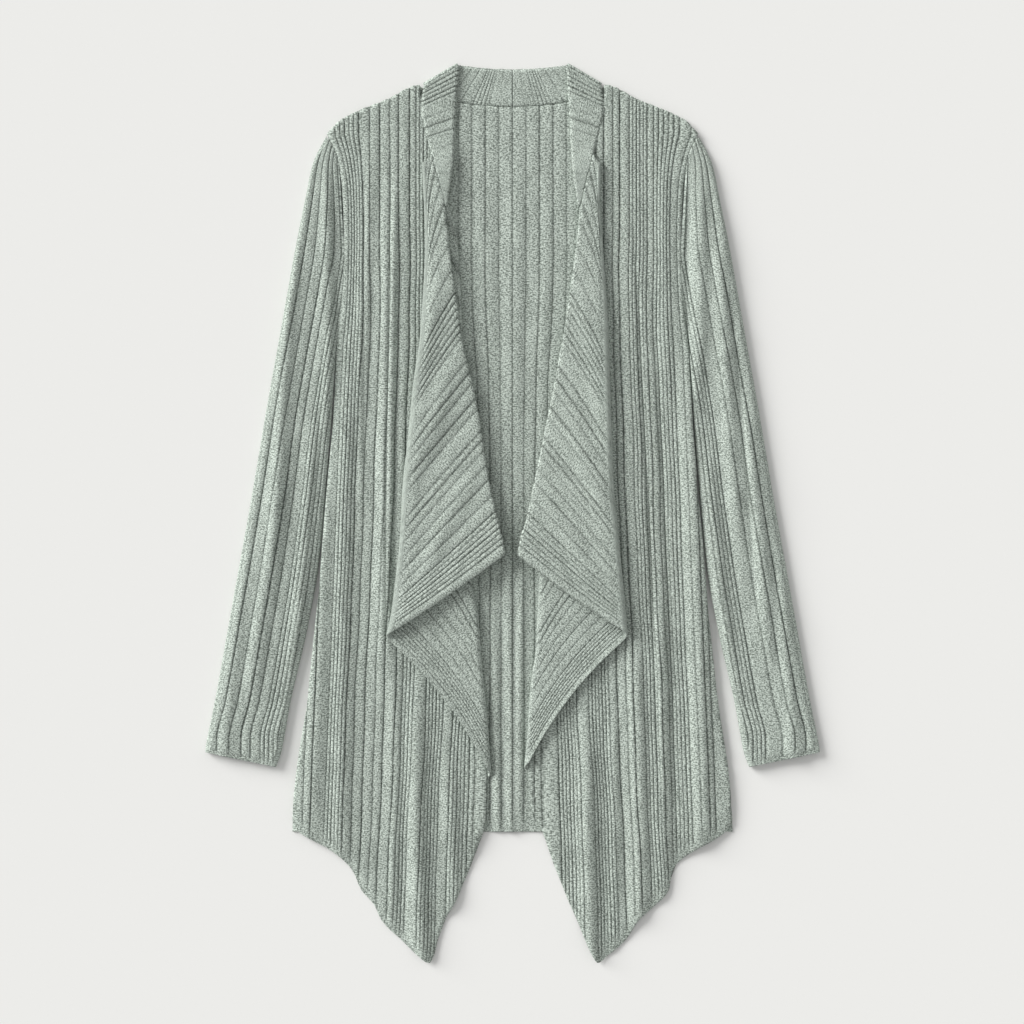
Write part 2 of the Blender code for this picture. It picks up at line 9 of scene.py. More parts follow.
import bmesh
import bpy
import numpy as np
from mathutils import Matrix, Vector


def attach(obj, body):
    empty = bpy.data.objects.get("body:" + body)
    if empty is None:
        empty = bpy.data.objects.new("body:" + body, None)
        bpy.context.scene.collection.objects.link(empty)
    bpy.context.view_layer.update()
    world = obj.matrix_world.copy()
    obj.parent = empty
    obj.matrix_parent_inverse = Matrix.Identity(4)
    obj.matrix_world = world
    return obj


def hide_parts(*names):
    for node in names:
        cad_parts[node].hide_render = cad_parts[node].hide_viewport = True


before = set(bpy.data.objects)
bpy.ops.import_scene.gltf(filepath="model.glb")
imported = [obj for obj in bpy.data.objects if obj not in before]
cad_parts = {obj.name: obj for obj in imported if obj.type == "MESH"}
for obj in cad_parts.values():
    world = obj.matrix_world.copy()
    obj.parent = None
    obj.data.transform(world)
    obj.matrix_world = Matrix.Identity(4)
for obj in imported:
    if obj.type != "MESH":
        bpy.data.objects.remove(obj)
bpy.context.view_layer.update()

# Back panel.
# One flat panel of sage rib knit, cut to the neck, shoulders and armholes, with a turned
# hem. It lies face down on the surface, so its wrong side shows between the fronts.

MM = 0.001
WALL = 1.8
LAYER_GAP = 1.0
BACK_MID = WALL / 2
EDGE_ROUND = 0.45
EDGE_INSET = 0.8
ROW_STEP = 5.0
PLAIN_STEP = 7.0
LEAST_APART = 0.05
HEM_BAND = 17.0
EDGE_FADE = 6.0
HALVINGS = 26
HEM_FROM = -470.0
HEM_TO = -240.0
SIDE_FROM = -306.0
TOP_TO = 460.0
UNDERARM_Y = 168.0
ARMHOLE_EASE = 32.0
LEAN = 0.04
LEAN_FROM = 30.0
EDGE_TRIM = 0.6
CREASE_END = 0.28
WANDER_TOP = 300.0
WANDER_FADE = 60.0


def table(names, *rows):
    """A short table as one array for each named column."""
    return {name: np.array(values, float) for name, values in zip(names.split(), zip(*rows))}


SHOULDER = table(
    "x y",
    (82.5, 366), (86.5, 378), (91.6, 407), (92.5, 427), (124.5, 413), (170.5, 393), (184.5, 379),
)
ARMHOLE = table(
    "y x",
    (168, 174.5), (213, 169.5), (273, 167.5), (323, 169), (353, 174.5), (379, 184.5),
)
SIDE = table(
    "y x",
    (-307, 220.5), (-253, 214), (-187, 204), (-137, 198.5), (-51, 190.5),
    (33, 183.5), (113, 177), (168, 174.5),
)
BACK_NECK = table("x y", (0, 406), (30, 407), (57.5, 411.5), (80, 420), (92.5, 427))
BACK_HEM_Y = -319.0
WANDER = table("sway wave lag", (0.6, 41, 23), (0.35, 17, 12))
BACK_RIBS = table("count width", (7, 11.3))
BACK_CREASES = table(
    "top_x top_y low_x low_y bow width height",
    (-31, 360, -24, 130, 3, 9, 1.7), (9, 380, 3, 40, -4, 10, 2.0), (36, 330, 24, 120, 2, 8, 1.4),
    (-6, 60, -2, -430, 2, 4.5, 2.8), (11, -10, 8, -350, -2, 4, 2.8), (-19, -60, -13, -380, 0, 4, 2.6),
)
BACK_SHOWN_HALF = 79.1
BACK_SPREAD = 0.2
SPREAD_TO = 60.0
SPREAD_END = 150.0
SPREAD_FROM_Y = 40.0
SPREAD_RISE = 220.0
BACK_FIXED = (92.5, 84.0)
BACK_RIB_SHARE = 0.6


def slopes(x, y):
    """Slopes for a cubic through the points that never overshoots them."""
    rise = np.diff(y) / np.diff(x)
    slope = np.concatenate([rise[:1], np.zeros(len(x) - 2), rise[-1:]])
    same = rise[:-1] * rise[1:] > 0
    inner = 2 * rise[:-1] * rise[1:] / np.where(same, rise[:-1] + rise[1:], 1.0)
    slope[1:-1] = np.where(same, inner, 0.0)
    return slope


def read(rows, key, value, at):
    """The value of a table's column at places on its key column, on a smooth curve."""
    order = np.argsort(rows[key])
    x, y = rows[key][order], rows[value][order]
    slope = slopes(x, y)
    at = np.clip(at, x[0], x[-1])
    i = np.clip(np.searchsorted(x, at) - 1, 0, len(x) - 2)
    h = x[i + 1] - x[i]
    t = (at - x[i]) / h
    return ((1 + 2 * t) * (1 - t) ** 2 * y[i] + t * (1 - t) ** 2 * h * slope[i]
            + t * t * (3 - 2 * t) * y[i + 1] + t * t * (t - 1) * h * slope[i + 1])


def ease(t):
    """A step from 0 to 1 that starts and ends softly."""
    t = np.clip(t, 0.0, 1.0)
    return t * t * (3 - 2 * t)


def creases(rows, x, y):
    """How high soft ridges stand, or how low troughs lie, each along its own bowed line."""
    rise = 0.0 * x + 0.0 * y
    for top_x, top_y, low_x, low_y, bow, width, height in zip(*rows.values()):
        run_x, run_y = low_x - top_x, low_y - top_y
        length = math.hypot(run_x, run_y)
        along = ((x - top_x) * run_x + (y - top_y) * run_y) / length ** 2
        aside = ((y - top_y) * run_x - (x - top_x) * run_y) / length
        aside = aside - bow * 4 * along * (1 - along)
        ends = ease(along / CREASE_END) * ease((1 - along) / CREASE_END)
        rise = rise + height * np.exp(-(aside / width) ** 2) * ends
    return rise


# Where the points lie across a rib, how its rounded shoulders and thin valleys run, and how far the
# shade painted into the valleys reaches.
NARROW_LIMIT = 5.0
NARROW_SPOTS = (0.0, 0.13, 0.29, 0.5, 0.71, 0.87)
WIDE_SPOTS = (0.0, 0.05, 0.11, 0.19, 0.33, 0.5, 0.67, 0.81, 0.89, 0.95)
SHOULDER_REACH = 4.8
NARROW_SHARE = 0.8
VALLEY_SHADE_REACH = 1.5
NARROW_VALLEY_SHADE_REACH = 0.8
VALLEY_DEPTHS_AND_SHADES = (1.0, 0.74, 0.92, 0.62, 0.86, 1.0, 0.7, 0.8)


def rib_lines(blocks, start, end):
    """Places across a panel from start to end, with the rib height there and the shade painted into the
    valleys.
    """
    places, ribs, valley_shades, at, number = [], [], [], 0.0, 0
    shares = blocks.get("depth", np.ones(len(blocks["count"])))
    for count, width, share in zip(blocks["count"], blocks["width"], shares):
        narrow = width < NARROW_LIMIT
        for _ in range(int(count)):
            for spot in NARROW_SPOTS if narrow else WIDE_SPOTS:
                edge = min(spot, 1 - spot) * width
                reach = min(width / 2, SHOULDER_REACH)
                fall = 1 - math.sqrt(1 - (1 - min(edge / reach, 1.0)) ** 2)
                deep = share * VALLEY_DEPTHS_AND_SHADES[(number + int(spot > 0.5)) % len(VALLEY_DEPTHS_AND_SHADES)]
                places.append(at + spot * width)
                ribs.append((1 - fall * deep) * (NARROW_SHARE if narrow else 1.0))
                # Painted shade: darkest in each valley, fading out across its reach.
                valley_shades.append(
                    max(0.0, 1 - edge / (NARROW_VALLEY_SHADE_REACH if narrow else VALLEY_SHADE_REACH)) * deep)
            at += width
            number += 1
    places.append(at)
    ribs.append(0.0)
    valley_shades.append(1.0)
    return start + np.array(places) / at * (end - start), np.array(ribs), np.array(valley_shades)


def plain_lines(start, end, *fixed):
    """Places across a face without ribs, with some fixed ones among them."""
    count = max(2, round(abs(end - start) / PLAIN_STEP) + 1)
    places = np.array(sorted({*np.linspace(start, end, count).tolist(), *fixed}, reverse=True))
    keep = np.concatenate([[True], np.diff(places) < -LEAST_APART])
    places = places[keep]
    return places, np.zeros(len(places)), np.zeros(len(places))


class Cloth:
    """Points, their knit marks and the triangles of one closed wall of cloth."""

    def __init__(self, side=1.0):
        self.side = side
        self.spots = []
        self.marks = []
        self.faces = []

    def row(self, x, y, z, rib=0.0, valley=0.0, across=0.0, along=0.0):
        """Adds a line of points and returns their numbers. Marks give the rib height, the shade painted
        into the rib valleys and the knit map.
        """
        x, y, z, *marks = np.broadcast_arrays(x, y, z, rib, valley, across, along)
        first = len(self.spots)
        self.spots += zip((self.side * x).tolist(), y.tolist(), z.tolist())
        self.marks += zip(*[mark.tolist() for mark in marks])
        return list(range(first, len(self.spots)))

    def join(self, a, b):
        """Triangles between two lines of points, in step along their lengths."""
        along_a, along_b = self.progress(a), self.progress(b)
        i = j = 0
        while i < len(a) - 1 or j < len(b) - 1:
            i, j = self.step(a, b, i, j, along_a[i + 1] <= along_b[j + 1])

    def lace(self, a, b):
        """Triangles between two closed lines with the same number of points, point to point."""
        for i in range(len(a)):
            self.face(a[i - 1], a[i], b[i])
            self.face(a[i - 1], b[i], b[i - 1])

    def join_down(self, a, b):
        """Triangles between two columns that run down the garment, in step by height."""
        fall_a, fall_b = [[-self.spots[i][1] for i in line] + [math.inf] for line in (a, b)]
        i = j = 0
        while i < len(a) - 1 or j < len(b) - 1:
            i, j = self.step(a, b, i, j, fall_a[i + 1] <= fall_b[j + 1])

    def bind(self, a, b, closed=False):
        """Triangles between two lines a wall's thickness apart, across the shorter way."""
        if closed:
            a, b = a + a[:1], b + b[:1]
        i = j = 0
        while i < len(a) - 1 or j < len(b) - 1:
            i, j = self.step(a, b, i, j, self.reach(a, i + 1, b, j) <= self.reach(b, j + 1, a, i))

    def step(self, a, b, i, j, on_a):
        """Adds the next triangle of a strip, with its new corner on line a or on line b."""
        if on_a:
            self.face(a[i], a[i + 1], b[j])
            return i + 1, j
        self.face(a[i], b[j + 1], b[j])
        return i, j + 1

    def progress(self, line):
        """How far along a line each of its points is, from 0 to 1, then infinity at its end."""
        spots = np.array([self.spots[i] for i in line])
        along = np.concatenate([[0.0], np.cumsum(np.linalg.norm(np.diff(spots, axis=0), axis=1))])
        return [*(along / along[-1]), math.inf]

    def reach(self, line, place, other, at):
        """How far a point of one line is from a point of another, or infinity past its end."""
        if place >= len(line):
            return math.inf
        return math.dist(self.spots[line[place]], self.spots[other[at]])

    def face(self, *corners):
        """Adds a triangle, unless two of its corners are the same point."""
        if len(set(corners)) == 3:
            self.faces.append(corners)

    def join_all(self, lines):
        """Joins each line of points to the next."""
        for a, b in zip(lines, lines[1:]):
            self.join(a, b)


def math_node(tree, operation, *values, clamp=False):
    """One step of arithmetic on sockets or numbers."""
    node = tree.nodes.new("ShaderNodeMath")
    node.operation = operation
    node.use_clamp = clamp
    for socket, value in zip(node.inputs, values):
        if isinstance(value, (int, float)):
            socket.default_value = value
        else:
            tree.links.new(value, socket)
    return node.outputs[0]


def blend_node(tree, share, first, second):
    """A mix of two colours, each a socket or four numbers."""
    node = tree.nodes.new("ShaderNodeMix")
    node.data_type = "RGBA"
    for name, value in (("Factor_Float", share), ("A_Color", first), ("B_Color", second)):
        socket = next(item for item in node.inputs if item.identifier == name)
        if isinstance(value, (int, float, tuple)):
            socket.default_value = value
        else:
            tree.links.new(value, socket)
    return next(item for item in node.outputs if item.identifier == "Result_Color")


def noise_node(tree, across, along, wide, tall, detail, seed):
    """Noise whose grains are wide across the rib and tall along it, in millimetres."""
    place = tree.nodes.new("ShaderNodeCombineXYZ")
    tree.links.new(math_node(tree, "DIVIDE", across, wide), place.inputs["X"])
    tree.links.new(math_node(tree, "DIVIDE", along, tall), place.inputs["Y"])
    place.inputs["Z"].default_value = seed
    noise = tree.nodes.new("ShaderNodeTexNoise")
    noise.inputs["Scale"].default_value = 1.0
    noise.inputs["Detail"].default_value = detail
    tree.links.new(place.outputs[0], noise.inputs["Vector"])
    return noise.outputs["Fac"]


def ramp_node(tree, value, low, high):
    """Stretches a value so that low gives 0 and high gives 1."""
    node = tree.nodes.new("ShaderNodeMapRange")
    node.interpolation_type = "SMOOTHSTEP"
    node.inputs["From Min"].default_value = low
    node.inputs["From Max"].default_value = high
    tree.links.new(value, node.inputs["Value"])
    return node.outputs["Result"]


# Grains of heather: width, length, detail and seed, then the levels turned to 0 and 1.
GRAINS = {
    "yarn": (2.8, 1.2, 1.0, 3.0, 0.4, 0.6),
    "fleck": (1.35, 1.45, 1.5, 11.0, 0.41, 0.59),
    "patch": (9.0, 24.0, 2.0, 7.0, 0.3, 0.7),
    # The gap grain breaks up the shade painted into the rib valleys.
    "gap": (2.0, 5.0, 2.0, 19.0, 0.34, 0.56),
}
LOOP_SHARE = 0.16
TONE_SHARES = (("yarn", 0.3), ("fleck", 0.42), ("patch", 0.12))
TONE_CONTRAST = 1.7
TONE_DROP = -0.35
BROKEN_SHARE = 0.6
KNIT_ROUGHNESS = 0.94
FLECK_SHINE = -0.08
LOOP_SLANT = 0.9
WALE_ROUND = 3.6
LOOP_HEIGHT = 0.4
FIBRE = (0.3, 0.45, 3.0, 23.0)
FIBRE_HEIGHT = 0.6


def heathered_knit():
    """Shader group: loops of heathered yarn in wales and courses, with shade painted darker into the
    rib valleys.
    """
    group = bpy.data.node_groups.new("heathered_knit", "ShaderNodeTree")
    sockets = group.interface
    for name, kind, value in (
        ("Across", "NodeSocketFloat", 0.0), ("Along", "NodeSocketFloat", 0.0),
        ("Valley", "NodeSocketFloat", 0.0), ("Wale", "NodeSocketFloat", 1.2),
        ("Course", "NodeSocketFloat", 0.95), ("Valley shade", "NodeSocketFloat", 0.8),
        ("Light yarn", "NodeSocketColor", (0.6, 0.65, 0.6, 1)),
        ("Dark yarn", "NodeSocketColor", (0.2, 0.25, 0.22, 1)),
        ("Shade", "NodeSocketColor", (0.05, 0.07, 0.055, 1)),
    ):
        sockets.new_socket(name, in_out="INPUT", socket_type=kind).default_value = value
    for name, kind in (("Color", "NodeSocketColor"), ("Roughness", "NodeSocketFloat"),
                       ("Height", "NodeSocketFloat")):
        sockets.new_socket(name, in_out="OUTPUT", socket_type=kind)
    given = group.nodes.new("NodeGroupInput").outputs
    put = group.nodes.new("NodeGroupOutput").inputs
    across, along = given["Across"], given["Along"]
    wale = math_node(group, "DIVIDE", across, given["Wale"])
    aside = math_node(group, "ABSOLUTE", math_node(
        group, "SUBTRACT", math_node(group, "FRACT", wale), 0.5))
    course = math_node(group, "SUBTRACT", math_node(
        group, "DIVIDE", along, given["Course"]), math_node(group, "MULTIPLY", aside, LOOP_SLANT))
    cell = group.nodes.new("ShaderNodeCombineXYZ")
    group.links.new(math_node(group, "FLOOR", wale), cell.inputs["X"])
    group.links.new(math_node(group, "FLOOR", course), cell.inputs["Y"])
    loop = group.nodes.new("ShaderNodeTexWhiteNoise")
    loop.noise_dimensions = "2D"
    group.links.new(cell.outputs[0], loop.inputs["Vector"])
    grains = {
        name: ramp_node(group, noise_node(group, across, along, *noise), low, high)
        for name, (*noise, low, high) in GRAINS.items()}
    tone = math_node(group, "MULTIPLY", loop.outputs["Value"], LOOP_SHARE)
    for name, share in TONE_SHARES:
        tone = math_node(group, "ADD", tone, math_node(group, "MULTIPLY", grains[name], share))
    tone = math_node(group, "MULTIPLY_ADD", tone, TONE_CONTRAST, TONE_DROP, clamp=True)
    # Painted shade: the valley mark, broken up along the ribs by the gap grain, darkens the yarn
    # towards the shade colour.
    broken = math_node(group, "ADD", math_node(group, "MULTIPLY", grains["gap"], BROKEN_SHARE),
                       1 - BROKEN_SHARE)
    deep = math_node(group, "MULTIPLY", math_node(group, "MULTIPLY", given["Valley"], broken),
                     given["Valley shade"], clamp=True)
    body = blend_node(group, tone, given["Dark yarn"], given["Light yarn"])
    group.links.new(blend_node(group, deep, body, given["Shade"]), put["Color"])
    shine = math_node(group, "MULTIPLY", grains["fleck"], FLECK_SHINE)
    group.links.new(math_node(group, "ADD", shine, KNIT_ROUGHNESS), put["Roughness"])
    wave = math_node(group, "SINE", math_node(group, "MULTIPLY", course, 2 * math.pi))
    round_wale = math_node(group, "SUBTRACT", 1.0, math_node(
        group, "MULTIPLY", math_node(group, "MULTIPLY", aside, aside), WALE_ROUND))
    stitch = math_node(group, "MULTIPLY", round_wale, math_node(
        group, "ADD", math_node(group, "MULTIPLY", wave, LOOP_HEIGHT), 1 - LOOP_HEIGHT))
    fibre = math_node(group, "MULTIPLY", noise_node(group, across, along, *FIBRE), FIBRE_HEIGHT)
    group.links.new(math_node(group, "ADD", stitch, fibre), put["Height"])
    return group


HEATHER = heathered_knit()
LIGHT_YARN = (0.6, 0.675, 0.61, 1.0)
DARK_YARN = (0.16, 0.188, 0.164, 1.0)
# Colour of the shade painted into the rib valleys, and how strongly it is painted on the right and on
# the wrong side of the knit.
VALLEY_SHADE = (0.034, 0.045, 0.036, 1.0)
RIGHT_SIDE_VALLEY_SHADE = 1.0
WRONG_SIDE_VALLEY_SHADE = 0.8
STITCH_STRENGTH = 0.55
STITCH_DEPTH = 0.35
SHEEN = 0.12
SHEEN_ROUGHNESS = 0.6
SHINE = 0.25


def knit_material(name, valley_shades):
    """A rib-knit finish that follows the knit of its piece through its own map, with shade painted into
    the rib valleys by its valley mark.
    """
    material = bpy.data.materials.new(name)
    material.use_nodes = True
    tree = material.node_tree
    knit = tree.nodes["Principled BSDF"]
    spots = tree.nodes.new("ShaderNodeUVMap")
    spots.uv_map = "knit"
    split = tree.nodes.new("ShaderNodeSeparateXYZ")
    tree.links.new(spots.outputs[0], split.inputs[0])
    # Where shade is painted into the rib valleys.
    mark = tree.nodes.new("ShaderNodeAttribute")
    mark.attribute_name = "valley"
    heather = tree.nodes.new("ShaderNodeGroup")
    heather.node_tree = HEATHER
    tree.links.new(math_node(tree, "DIVIDE", split.outputs["X"], MM), heather.inputs["Across"])
    tree.links.new(math_node(tree, "DIVIDE", split.outputs["Y"], MM), heather.inputs["Along"])
    tree.links.new(mark.outputs["Fac"], heather.inputs["Valley"])
    bump = tree.nodes.new("ShaderNodeBump")
    for node, socket, value in (
        (heather, "Light yarn", LIGHT_YARN), (heather, "Dark yarn", DARK_YARN),
        (heather, "Shade", VALLEY_SHADE), (heather, "Valley shade", valley_shades),
        (bump, "Strength", STITCH_STRENGTH), (bump, "Distance", STITCH_DEPTH * MM),
        (knit, "Sheen Weight", SHEEN), (knit, "Sheen Roughness", SHEEN_ROUGHNESS),
        (knit, "Specular IOR Level", SHINE),
    ):
        node.inputs[socket].default_value = value
    tree.links.new(heather.outputs["Height"], bump.inputs["Height"])
    tree.links.new(heather.outputs["Color"], knit.inputs["Base Color"])
    tree.links.new(heather.outputs["Roughness"], knit.inputs["Roughness"])
    tree.links.new(bump.outputs[0], knit.inputs["Normal"])
    return material


RIGHT_SIDE = knit_material("sage_rib_knit", RIGHT_SIDE_VALLEY_SHADE)
WRONG_SIDE = knit_material("sage_rib_knit_reverse", WRONG_SIDE_VALLEY_SHADE)
RIB_HEIGHT = 1.5


def rib_tree():
    """Geometry Nodes: lifts the ribs off a piece along its normals, by the piece's marks."""
    tree = bpy.data.node_groups.new("raise_ribs", "GeometryNodeTree")
    tree.is_modifier = True
    for name, way, kind in (
        ("Geometry", "INPUT", "NodeSocketGeometry"), ("Rib height", "INPUT", "NodeSocketFloat"),
        ("Knit", "INPUT", "NodeSocketMaterial"), ("Geometry", "OUTPUT", "NodeSocketGeometry"),
    ):
        tree.interface.new_socket(name, in_out=way, socket_type=kind)
    given = tree.nodes.new("NodeGroupInput").outputs
    mark = tree.nodes.new("GeometryNodeInputNamedAttribute")
    mark.data_type = "FLOAT"
    mark.inputs["Name"].default_value = "rib"
    rise = math_node(tree, "MULTIPLY", mark.outputs["Attribute"], given["Rib height"])
    lift = tree.nodes.new("ShaderNodeVectorMath")
    lift.operation = "SCALE"
    tree.links.new(tree.nodes.new("GeometryNodeInputNormal").outputs[0], lift.inputs[0])
    tree.links.new(rise, lift.inputs["Scale"])
    move = tree.nodes.new("GeometryNodeSetPosition")
    tree.links.new(given["Geometry"], move.inputs["Geometry"])
    tree.links.new(lift.outputs[0], move.inputs["Offset"])
    real = tree.nodes.new("GeometryNodeRealizeInstances")
    tree.links.new(move.outputs[0], real.inputs[0])
    dress = tree.nodes.new("GeometryNodeSetMaterial")
    tree.links.new(real.outputs[0], dress.inputs["Geometry"])
    tree.links.new(given["Knit"], dress.inputs["Material"])
    tree.links.new(dress.outputs[0], tree.nodes.new("NodeGroupOutput").inputs[0])
    return tree


RAISE_RIBS = rib_tree()


def grow(piece, tree, **values):
    """Runs a Geometry Nodes tree on a piece and keeps the result as its plain mesh."""
    modifier = piece.modifiers.new(tree.name, "NODES")
    modifier.node_group = tree
    for socket in tree.interface.items_tree:
        if socket.in_out == "INPUT" and socket.name.replace(" ", "_") in values:
            modifier[socket.identifier] = values[socket.name.replace(" ", "_")]
    bpy.context.view_layer.update()
    grown = bpy.data.meshes.new_from_object(
        piece.evaluated_get(bpy.context.evaluated_depsgraph_get()))
    piece.modifiers.remove(modifier)
    old, piece.data = piece.data, grown
    bpy.data.meshes.remove(old)
    return piece


def finish_cloth(name, cloth, knit):
    """Makes the gathered cloth into a piece, raises its ribs and puts it in its node's place."""
    mesh = bpy.data.meshes.new(name)
    mesh.from_pydata((np.array(cloth.spots) * MM).tolist(), [], cloth.faces)
    marks = np.array(cloth.marks)
    # The rib mark raises the ribs; the valley mark says where shade is painted into the rib valleys.
    for column, mark in enumerate(("rib", "valley")):
        mesh.attributes.new(mark, "FLOAT", "POINT").data.foreach_set("value", marks[:, column])
    corners = np.empty(len(mesh.loops), int)
    mesh.loops.foreach_get("vertex_index", corners)
    mesh.uv_layers.new(name="knit").data.foreach_set("uv", (marks[corners, 2:] * MM).ravel())
    shape = bmesh.new()
    shape.from_mesh(mesh)
    loose = [corner for corner in shape.verts if not corner.link_faces]
    bmesh.ops.delete(shape, geom=loose, context="VERTS")
    bmesh.ops.recalc_face_normals(shape, faces=shape.faces)
    shape.to_mesh(mesh)
    shape.free()
    mesh.shade_smooth()
    piece = bpy.data.objects.new(name, mesh)
    bpy.context.scene.collection.objects.link(piece)
    grow(piece, RAISE_RIBS, Rib_height=RIB_HEIGHT * MM, Knit=knit)
    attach(piece, "root")
    return piece


def wander(place, y):
    """The small sideways drift of a rib line, which dies out towards the neck and armhole."""
    drift = sum(sway * np.sin(y / wave + place / lag) for sway, wave, lag in zip(*WANDER.values()))
    hole = read(ARMHOLE, "y", "x", UNDERARM_Y)
    inside = np.clip(np.minimum(np.abs(hole - place), place) / ARMHOLE_EASE, 0, 1)
    return drift * inside * ease((WANDER_TOP - y) / WANDER_FADE)


def by_armhole(place, y):
    """How far the armhole's curve moves a rib line that runs near it."""
    hole = read(ARMHOLE, "y", "x", UNDERARM_Y)
    near = np.clip(1 - (hole - place) / ARMHOLE_EASE, 0, None)
    return near * (read(ARMHOLE, "y", "x", np.maximum(y, UNDERARM_Y)) - hole)


def front_column(place, y):
    """Where a rib line lies at a height: it follows the armhole and leans out below it."""
    lean = LEAN * ease(place / LEAN_FROM) * np.clip(UNDERARM_Y - y, 0, None)
    return place + by_armhole(place, y) + lean + wander(place, y)


def back_column(place, y):
    """The back's rib lines spread towards the neck and run straight down below it."""
    spread = BACK_SPREAD * np.minimum(place, SPREAD_TO) * np.clip(
        (SPREAD_END - place) / (SPREAD_END - SPREAD_TO), 0, 1)
    lean = LEAN * ease((place - SPREAD_TO) / SPREAD_TO) * np.clip(UNDERARM_Y - y, 0, None)
    return (place + by_armhole(place, y) + spread * ease((y - SPREAD_FROM_Y) / SPREAD_RISE)
            + lean + wander(place, y))


def meet(column, places, limit, low, high):
    """The heights between low and high at which rib lines reach an outline."""
    low, high = np.full(len(places), float(low)), np.full(len(places), float(high))
    for _ in range(HALVINGS):
        middle = (low + high) / 2
        inside = limit(column(places, middle), middle)
        low, high = np.where(inside, middle, low), np.where(inside, high, middle)
    return (low + high) / 2


def place_of(column, x, y):
    """The rib line that runs through a point."""
    low, high = 0.0, float(x) + 20
    for _ in range(HALVINGS):
        middle = (low + high) / 2
        low, high = (middle, high) if column(middle, y) < x else (low, middle)
    return (low + high) / 2


def column_heights(high, low):
    """Heights down a column on even courses, closer at both of its ends."""
    first = math.ceil((low - UNDERARM_Y + 2 * EDGE_INSET) / ROW_STEP)
    last = math.floor((high - UNDERARM_Y - 2 * EDGE_INSET) / ROW_STEP)
    courses = UNDERARM_Y + ROW_STEP * np.arange(last, first - 1, -1)
    return np.concatenate([[high, high - EDGE_INSET], courses, [low + EDGE_INSET, low]])


def body_panel(cloth, column, lines, tops, bottoms, height, face, hem, round_top):
    """One face of a body panel as rib lines, and the lines of points along its outline."""
    edge = float(read(ARMHOLE, "y", "x", UNDERARM_Y))
    places, ribs, valley_shades = lines
    lows = meet(column, places, lambda x, y: y < bottoms(x), HEM_FROM, HEM_TO)
    sides = meet(column, places, lambda x, y: x < read(SIDE, "y", "x", y), SIDE_FROM, UNDERARM_Y)
    highs = meet(column, places, lambda x, y: y < tops(x), SIDE_FROM, TOP_TO)
    columns, upper = [], None
    for i, place in enumerate(places):
        beyond = place > edge
        high = sides[i] if beyond else highs[i]
        ys = column_heights(high, lows[i])
        if place <= edge and upper is None:
            split = int(np.argmin(np.abs(ys - UNDERARM_Y)))
            ys[split] = UNDERARM_Y
        xs = column(place, ys)
        ends = np.zeros(len(ys))
        ends[-1] = 1.0
        ends[0] = float(beyond or round_top(place))
        if not columns or (upper is None and not beyond):
            ends[: split + 1 if columns else None] = 1.0
        drop = EDGE_ROUND * ends
        above_hem = ease((ys - lows[i]) / (HEM_BAND if hem(place) else EDGE_FADE))
        zs = height(xs, ys) + face * (WALL / 2 - drop)
        points = cloth.row(xs, ys, zs, ribs[i] * above_hem, valley_shades[i] * above_hem,
                           cloth.side * place, -ys)
        if upper is None and not beyond:
            upper = (points[: split + 1], len(columns))
            if columns:
                cloth.join_down(columns[-1], points[split:])
        elif columns:
            cloth.join_down(columns[-1], points)
        columns.append(points)
    armhole, first = upper
    return columns, {
        "hem": [points[-1] for points in columns],
        "side": [points[0] for points in columns[:first]] + [armhole[-1]],
        "armhole": armhole, "tops": [points[0] for points in columns[first:]],
        "corner": columns[0],
    }


def back_top(x):
    """The back panel's neckline and, outside it, its shoulder line."""
    return np.where(x < BACK_NECK["x"][-1], read(BACK_NECK, "x", "y", x),
                    read(SHOULDER, "x", "y", x))


def back_face(cloth, face):
    """Both halves of one face of the back, joined down the centre."""
    widest = place_of(back_column, SIDE["x"][0] - EDGE_TRIM, SIDE["y"][0])
    edge = float(read(ARMHOLE, "y", "x", UNDERARM_Y))
    lines = plain_lines(widest, 0.0, edge, *BACK_FIXED)
    if face > 0:
        ribs = rib_lines(BACK_RIBS, BACK_SHOWN_HALF, 0.0)
        plain = lines[0] > BACK_SHOWN_HALF + 1
        lines = [np.concatenate([a[plain], b]) for a, b in zip(lines, ribs)]
        lines[1] = lines[1] * BACK_RIB_SHARE
    halves = []
    for side in (1.0, -1.0):
        cloth.side = side
        shown = lines if side > 0 else [line[:-1] for line in lines]
        columns, outline = body_panel(
            cloth, back_column, shown, back_top, lambda x: BACK_HEM_Y + 0 * x,
            lambda x, y: BACK_MID + creases(BACK_CREASES, cloth.side * x, y), face,
            lambda place: True, lambda place: True)
        halves.append({**outline, "inmost": columns[-1]})
    cloth.join(halves[0]["inmost"], halves[1]["inmost"])
    return halves


back = Cloth()
above, below = back_face(back, 1), back_face(back, -1)
for upper_half, lower_half in zip(above, below):
    for border in ("side", "armhole", "corner"):
        back.bind(upper_half[border], lower_half[border])
for border in ("hem", "tops"):
    back.bind(*[half[0][border] + half[1][border][::-1] for half in (above, below)])
back_panel = finish_cloth("back_panel", back, WRONG_SIDE)
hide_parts("back")

# Fronts.
# Each is one wide panel of rib knit. It lies on the back, folds out at an inner fold and
# in again at an outer fold, so that its free edge falls as a lapel with slanting ribs.

